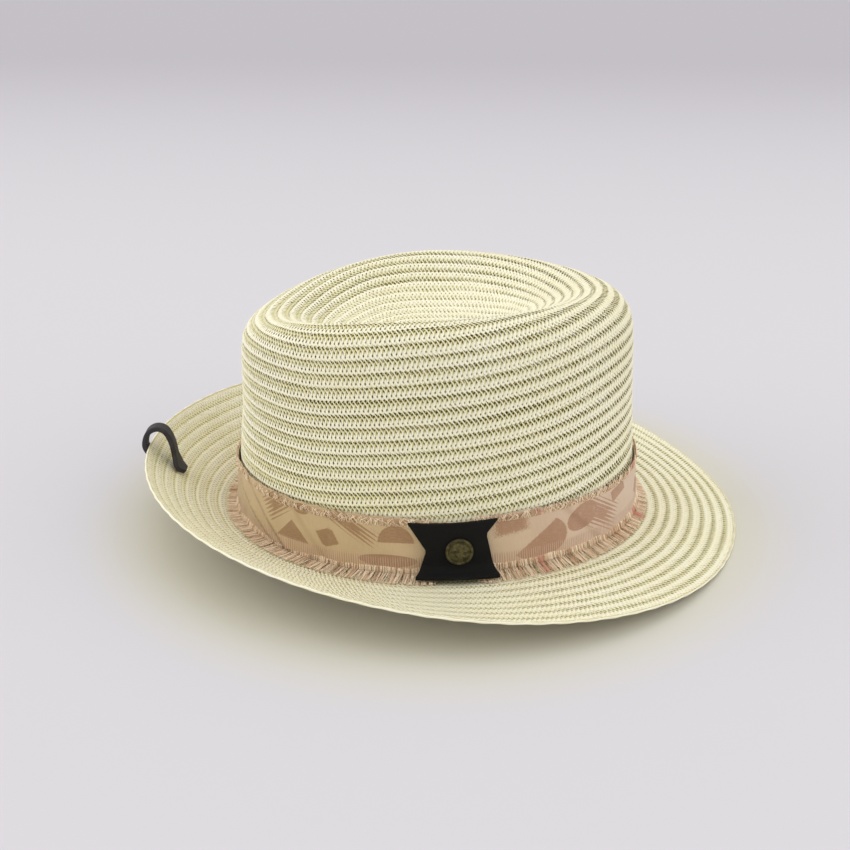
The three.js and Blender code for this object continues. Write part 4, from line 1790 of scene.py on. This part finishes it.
@dataclass
class Stage:
    """Pale floor, soft light and the camera."""

    floor_colour: Colour = (0.64, 0.632, 0.7)
    # Painted shade: the floor's colour far off.
    far_shade_colour: Colour = (0.46, 0.447, 0.515)
    # Painted warm tint of the hat's shadow and the straw's bounce light.
    bounce_shadow_colour: Colour = (0.66, 0.645, 0.57)
    speck_colour: Colour = (0.7, 0.7, 0.7)
    sky_colour: Colour = srgb(255, 252, 238)
    sun_colour: Colour = srgb(242, 242, 255)
    camera_at: tuple[float, float, float] = (-0.54143, -0.04946, 0.27248)
    look_at: tuple[float, float, float] = (-0.00054, 0.00739, 0.04275)
    lens: float = 48.71
    floor_size: float = 60.0
    sky: float = 0.84
    suns: tuple[tuple[float, float, tuple[float, float, float]], ...] = (
        (0.42, 60.0, (0.3, 0.3, 1.0)),
        (0.95, 60.0, (-0.15, 1.0, 0.5)),
        (0.7, 60.0, (-0.15, -1.0, 0.5)),
    )

    def _floor(self) -> None:
        """Lays the floor: pale paper, with painted shade making it darker far off, and a painted warm tint
        of the straw's shadow and bounce light close under the straw.
        """
        Bench.clear()
        bpy.ops.mesh.primitive_plane_add(size=self.floor_size, location=(0, 0, 0))
        floor = Bench.pick_up("floor")
        g = Graph("floor_paper")
        place = g.place()
        away = g.split(place)[0]
        grain = g.noise(place, 300, 2)
        # Painted shade: the floor grows darker further away.
        tone = g.blend(away.step(0.2, 2.5), self.floor_colour, self.far_shade_colour)
        reach = g.node("ShaderNodeVectorMath", {"operation": "LENGTH"}, {0: place}, 1)
        # Painted shadow and bounce light: a warm tint on the floor close under the hat.
        tone = g.blend(reach.step(0.19, 0.14), tone, self.bounce_shadow_colour)
        floor.data.materials.append(g.finish({
            "Base Color": g.blend(grain * 0.05, tone, self.speck_colour),
            "Roughness": 0.9,
            "Specular IOR Level": 0.1,
            "Normal": g.bump(grain, 0.05, 0.0002),
        }))

    def _light(self) -> None:
        """Lights the stage with a pale sky and three wide, soft suns."""
        world = bpy.data.worlds.new("studio")
        bpy.context.scene.world = world
        world.use_nodes = True
        back = world.node_tree.nodes.get("Background") or world.node_tree.nodes.new("ShaderNodeBackground")
        back.inputs["Color"].default_value = (*self.sky_colour, 1)
        back.inputs["Strength"].default_value = self.sky
        for energy, angle, side in self.suns:
            bpy.ops.object.light_add(type="SUN", location=(0, 0, 2))
            sun = bpy.context.object
            sun.data.energy = energy
            sun.data.color = self.sun_colour
            sun.data.angle = math.radians(angle)
            sun.rotation_euler = Vector(side).to_track_quat("Z", "Y").to_euler()

    def _camera(self) -> None:
        """Sets up the camera on the wearer's right."""
        bpy.ops.object.camera_add(location=self.camera_at)
        camera = bpy.context.object
        camera.data.lens = self.lens
        camera.data.sensor_width = 36
        camera.data.clip_start = 0.01
        camera.data.clip_end = 200
        direction = Vector(self.look_at) - Vector(self.camera_at)
        camera.rotation_euler = direction.to_track_quat("-Z", "Y").to_euler()
        bpy.context.scene.camera = camera
        bpy.context.scene.view_settings.view_transform = "Standard"

    def build(self) -> None:
        """Sets up the stage."""
        self._floor()
        self._light()
        self._camera()


def dress(piece: bpy.types.Object, material: bpy.types.Material) -> None:
    """Gives a piece its finish and lets it ride on the hat.

    Args:
        piece: the piece.
        material: its finish.
    """
    piece.data.materials.clear()
    piece.data.materials.append(material)
    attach(piece, BODY)
    LOG.info("%s: %d faces", piece.name, len(piece.data.polygons))


def fringe(form: HatForm) -> Strands:
    """The combed fringe: from under the band over its foot and out on the brim.

    Args:
        form: the hat's shape.

    Returns:
        The fringe, not yet built.
    """
    route = (
        Spot(Ground.WALL, 6.5, 1.3),
        Spot(Ground.WALL, 5.0, 2.1),
        Spot(Ground.WALL, 2.4, 2.7),
        Spot(Ground.BRIM, 3.6, 2.7),
        Spot(Ground.BRIM, 8.0, 2.0),
        Spot(Ground.BRIM, 12.6, 1.35),
    )
    return Strands(form, "fringe_threads", "band_fringe", 1750, route, 0.22, 11, 0.006, 0.3, ends=0.36)


def fray(form: HatForm) -> Strands:
    """The frayed upper edge of the band.

    Args:
        form: the hat's shape.

    Returns:
        The fray, not yet built.
    """
    route = (
        Spot(Ground.WALL, 26.2, 1.9),
        Spot(Ground.WALL, 28.6, 2.7),
        Spot(Ground.WALL, 30.4, 2.3),
    )
    return Strands(form, "fray_threads", "hat_band", 1300, route, 0.19, 5, 0.018, 1.0)


def main() -> None:
    """Builds the stage and the hat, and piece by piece."""
    logging.basicConfig(level=logging.INFO, format="%(message)s")
    Stage().build()
    form = HatForm()
    straw = StrawFinish().make()
    for piece in StrawBody(form).build():
        dress(piece, straw)
    band = HatBand(form).build()
    dress(band, BandFinish().make())
    yarn = ThreadFinish().make()
    strands = [fringe(form).build(), fray(form).build()]
    for piece in strands:
        dress(piece, yarn)
    tab = Tab(form)
    dress(tab.build(), BLACK_LEATHER.make())
    dress(SnapCap(form, tab).build(), MetalFinish().make())
    dress(KeeperLoop(form).build(), GREY_LEATHER.make())


if __name__ == "__main__":
    main()
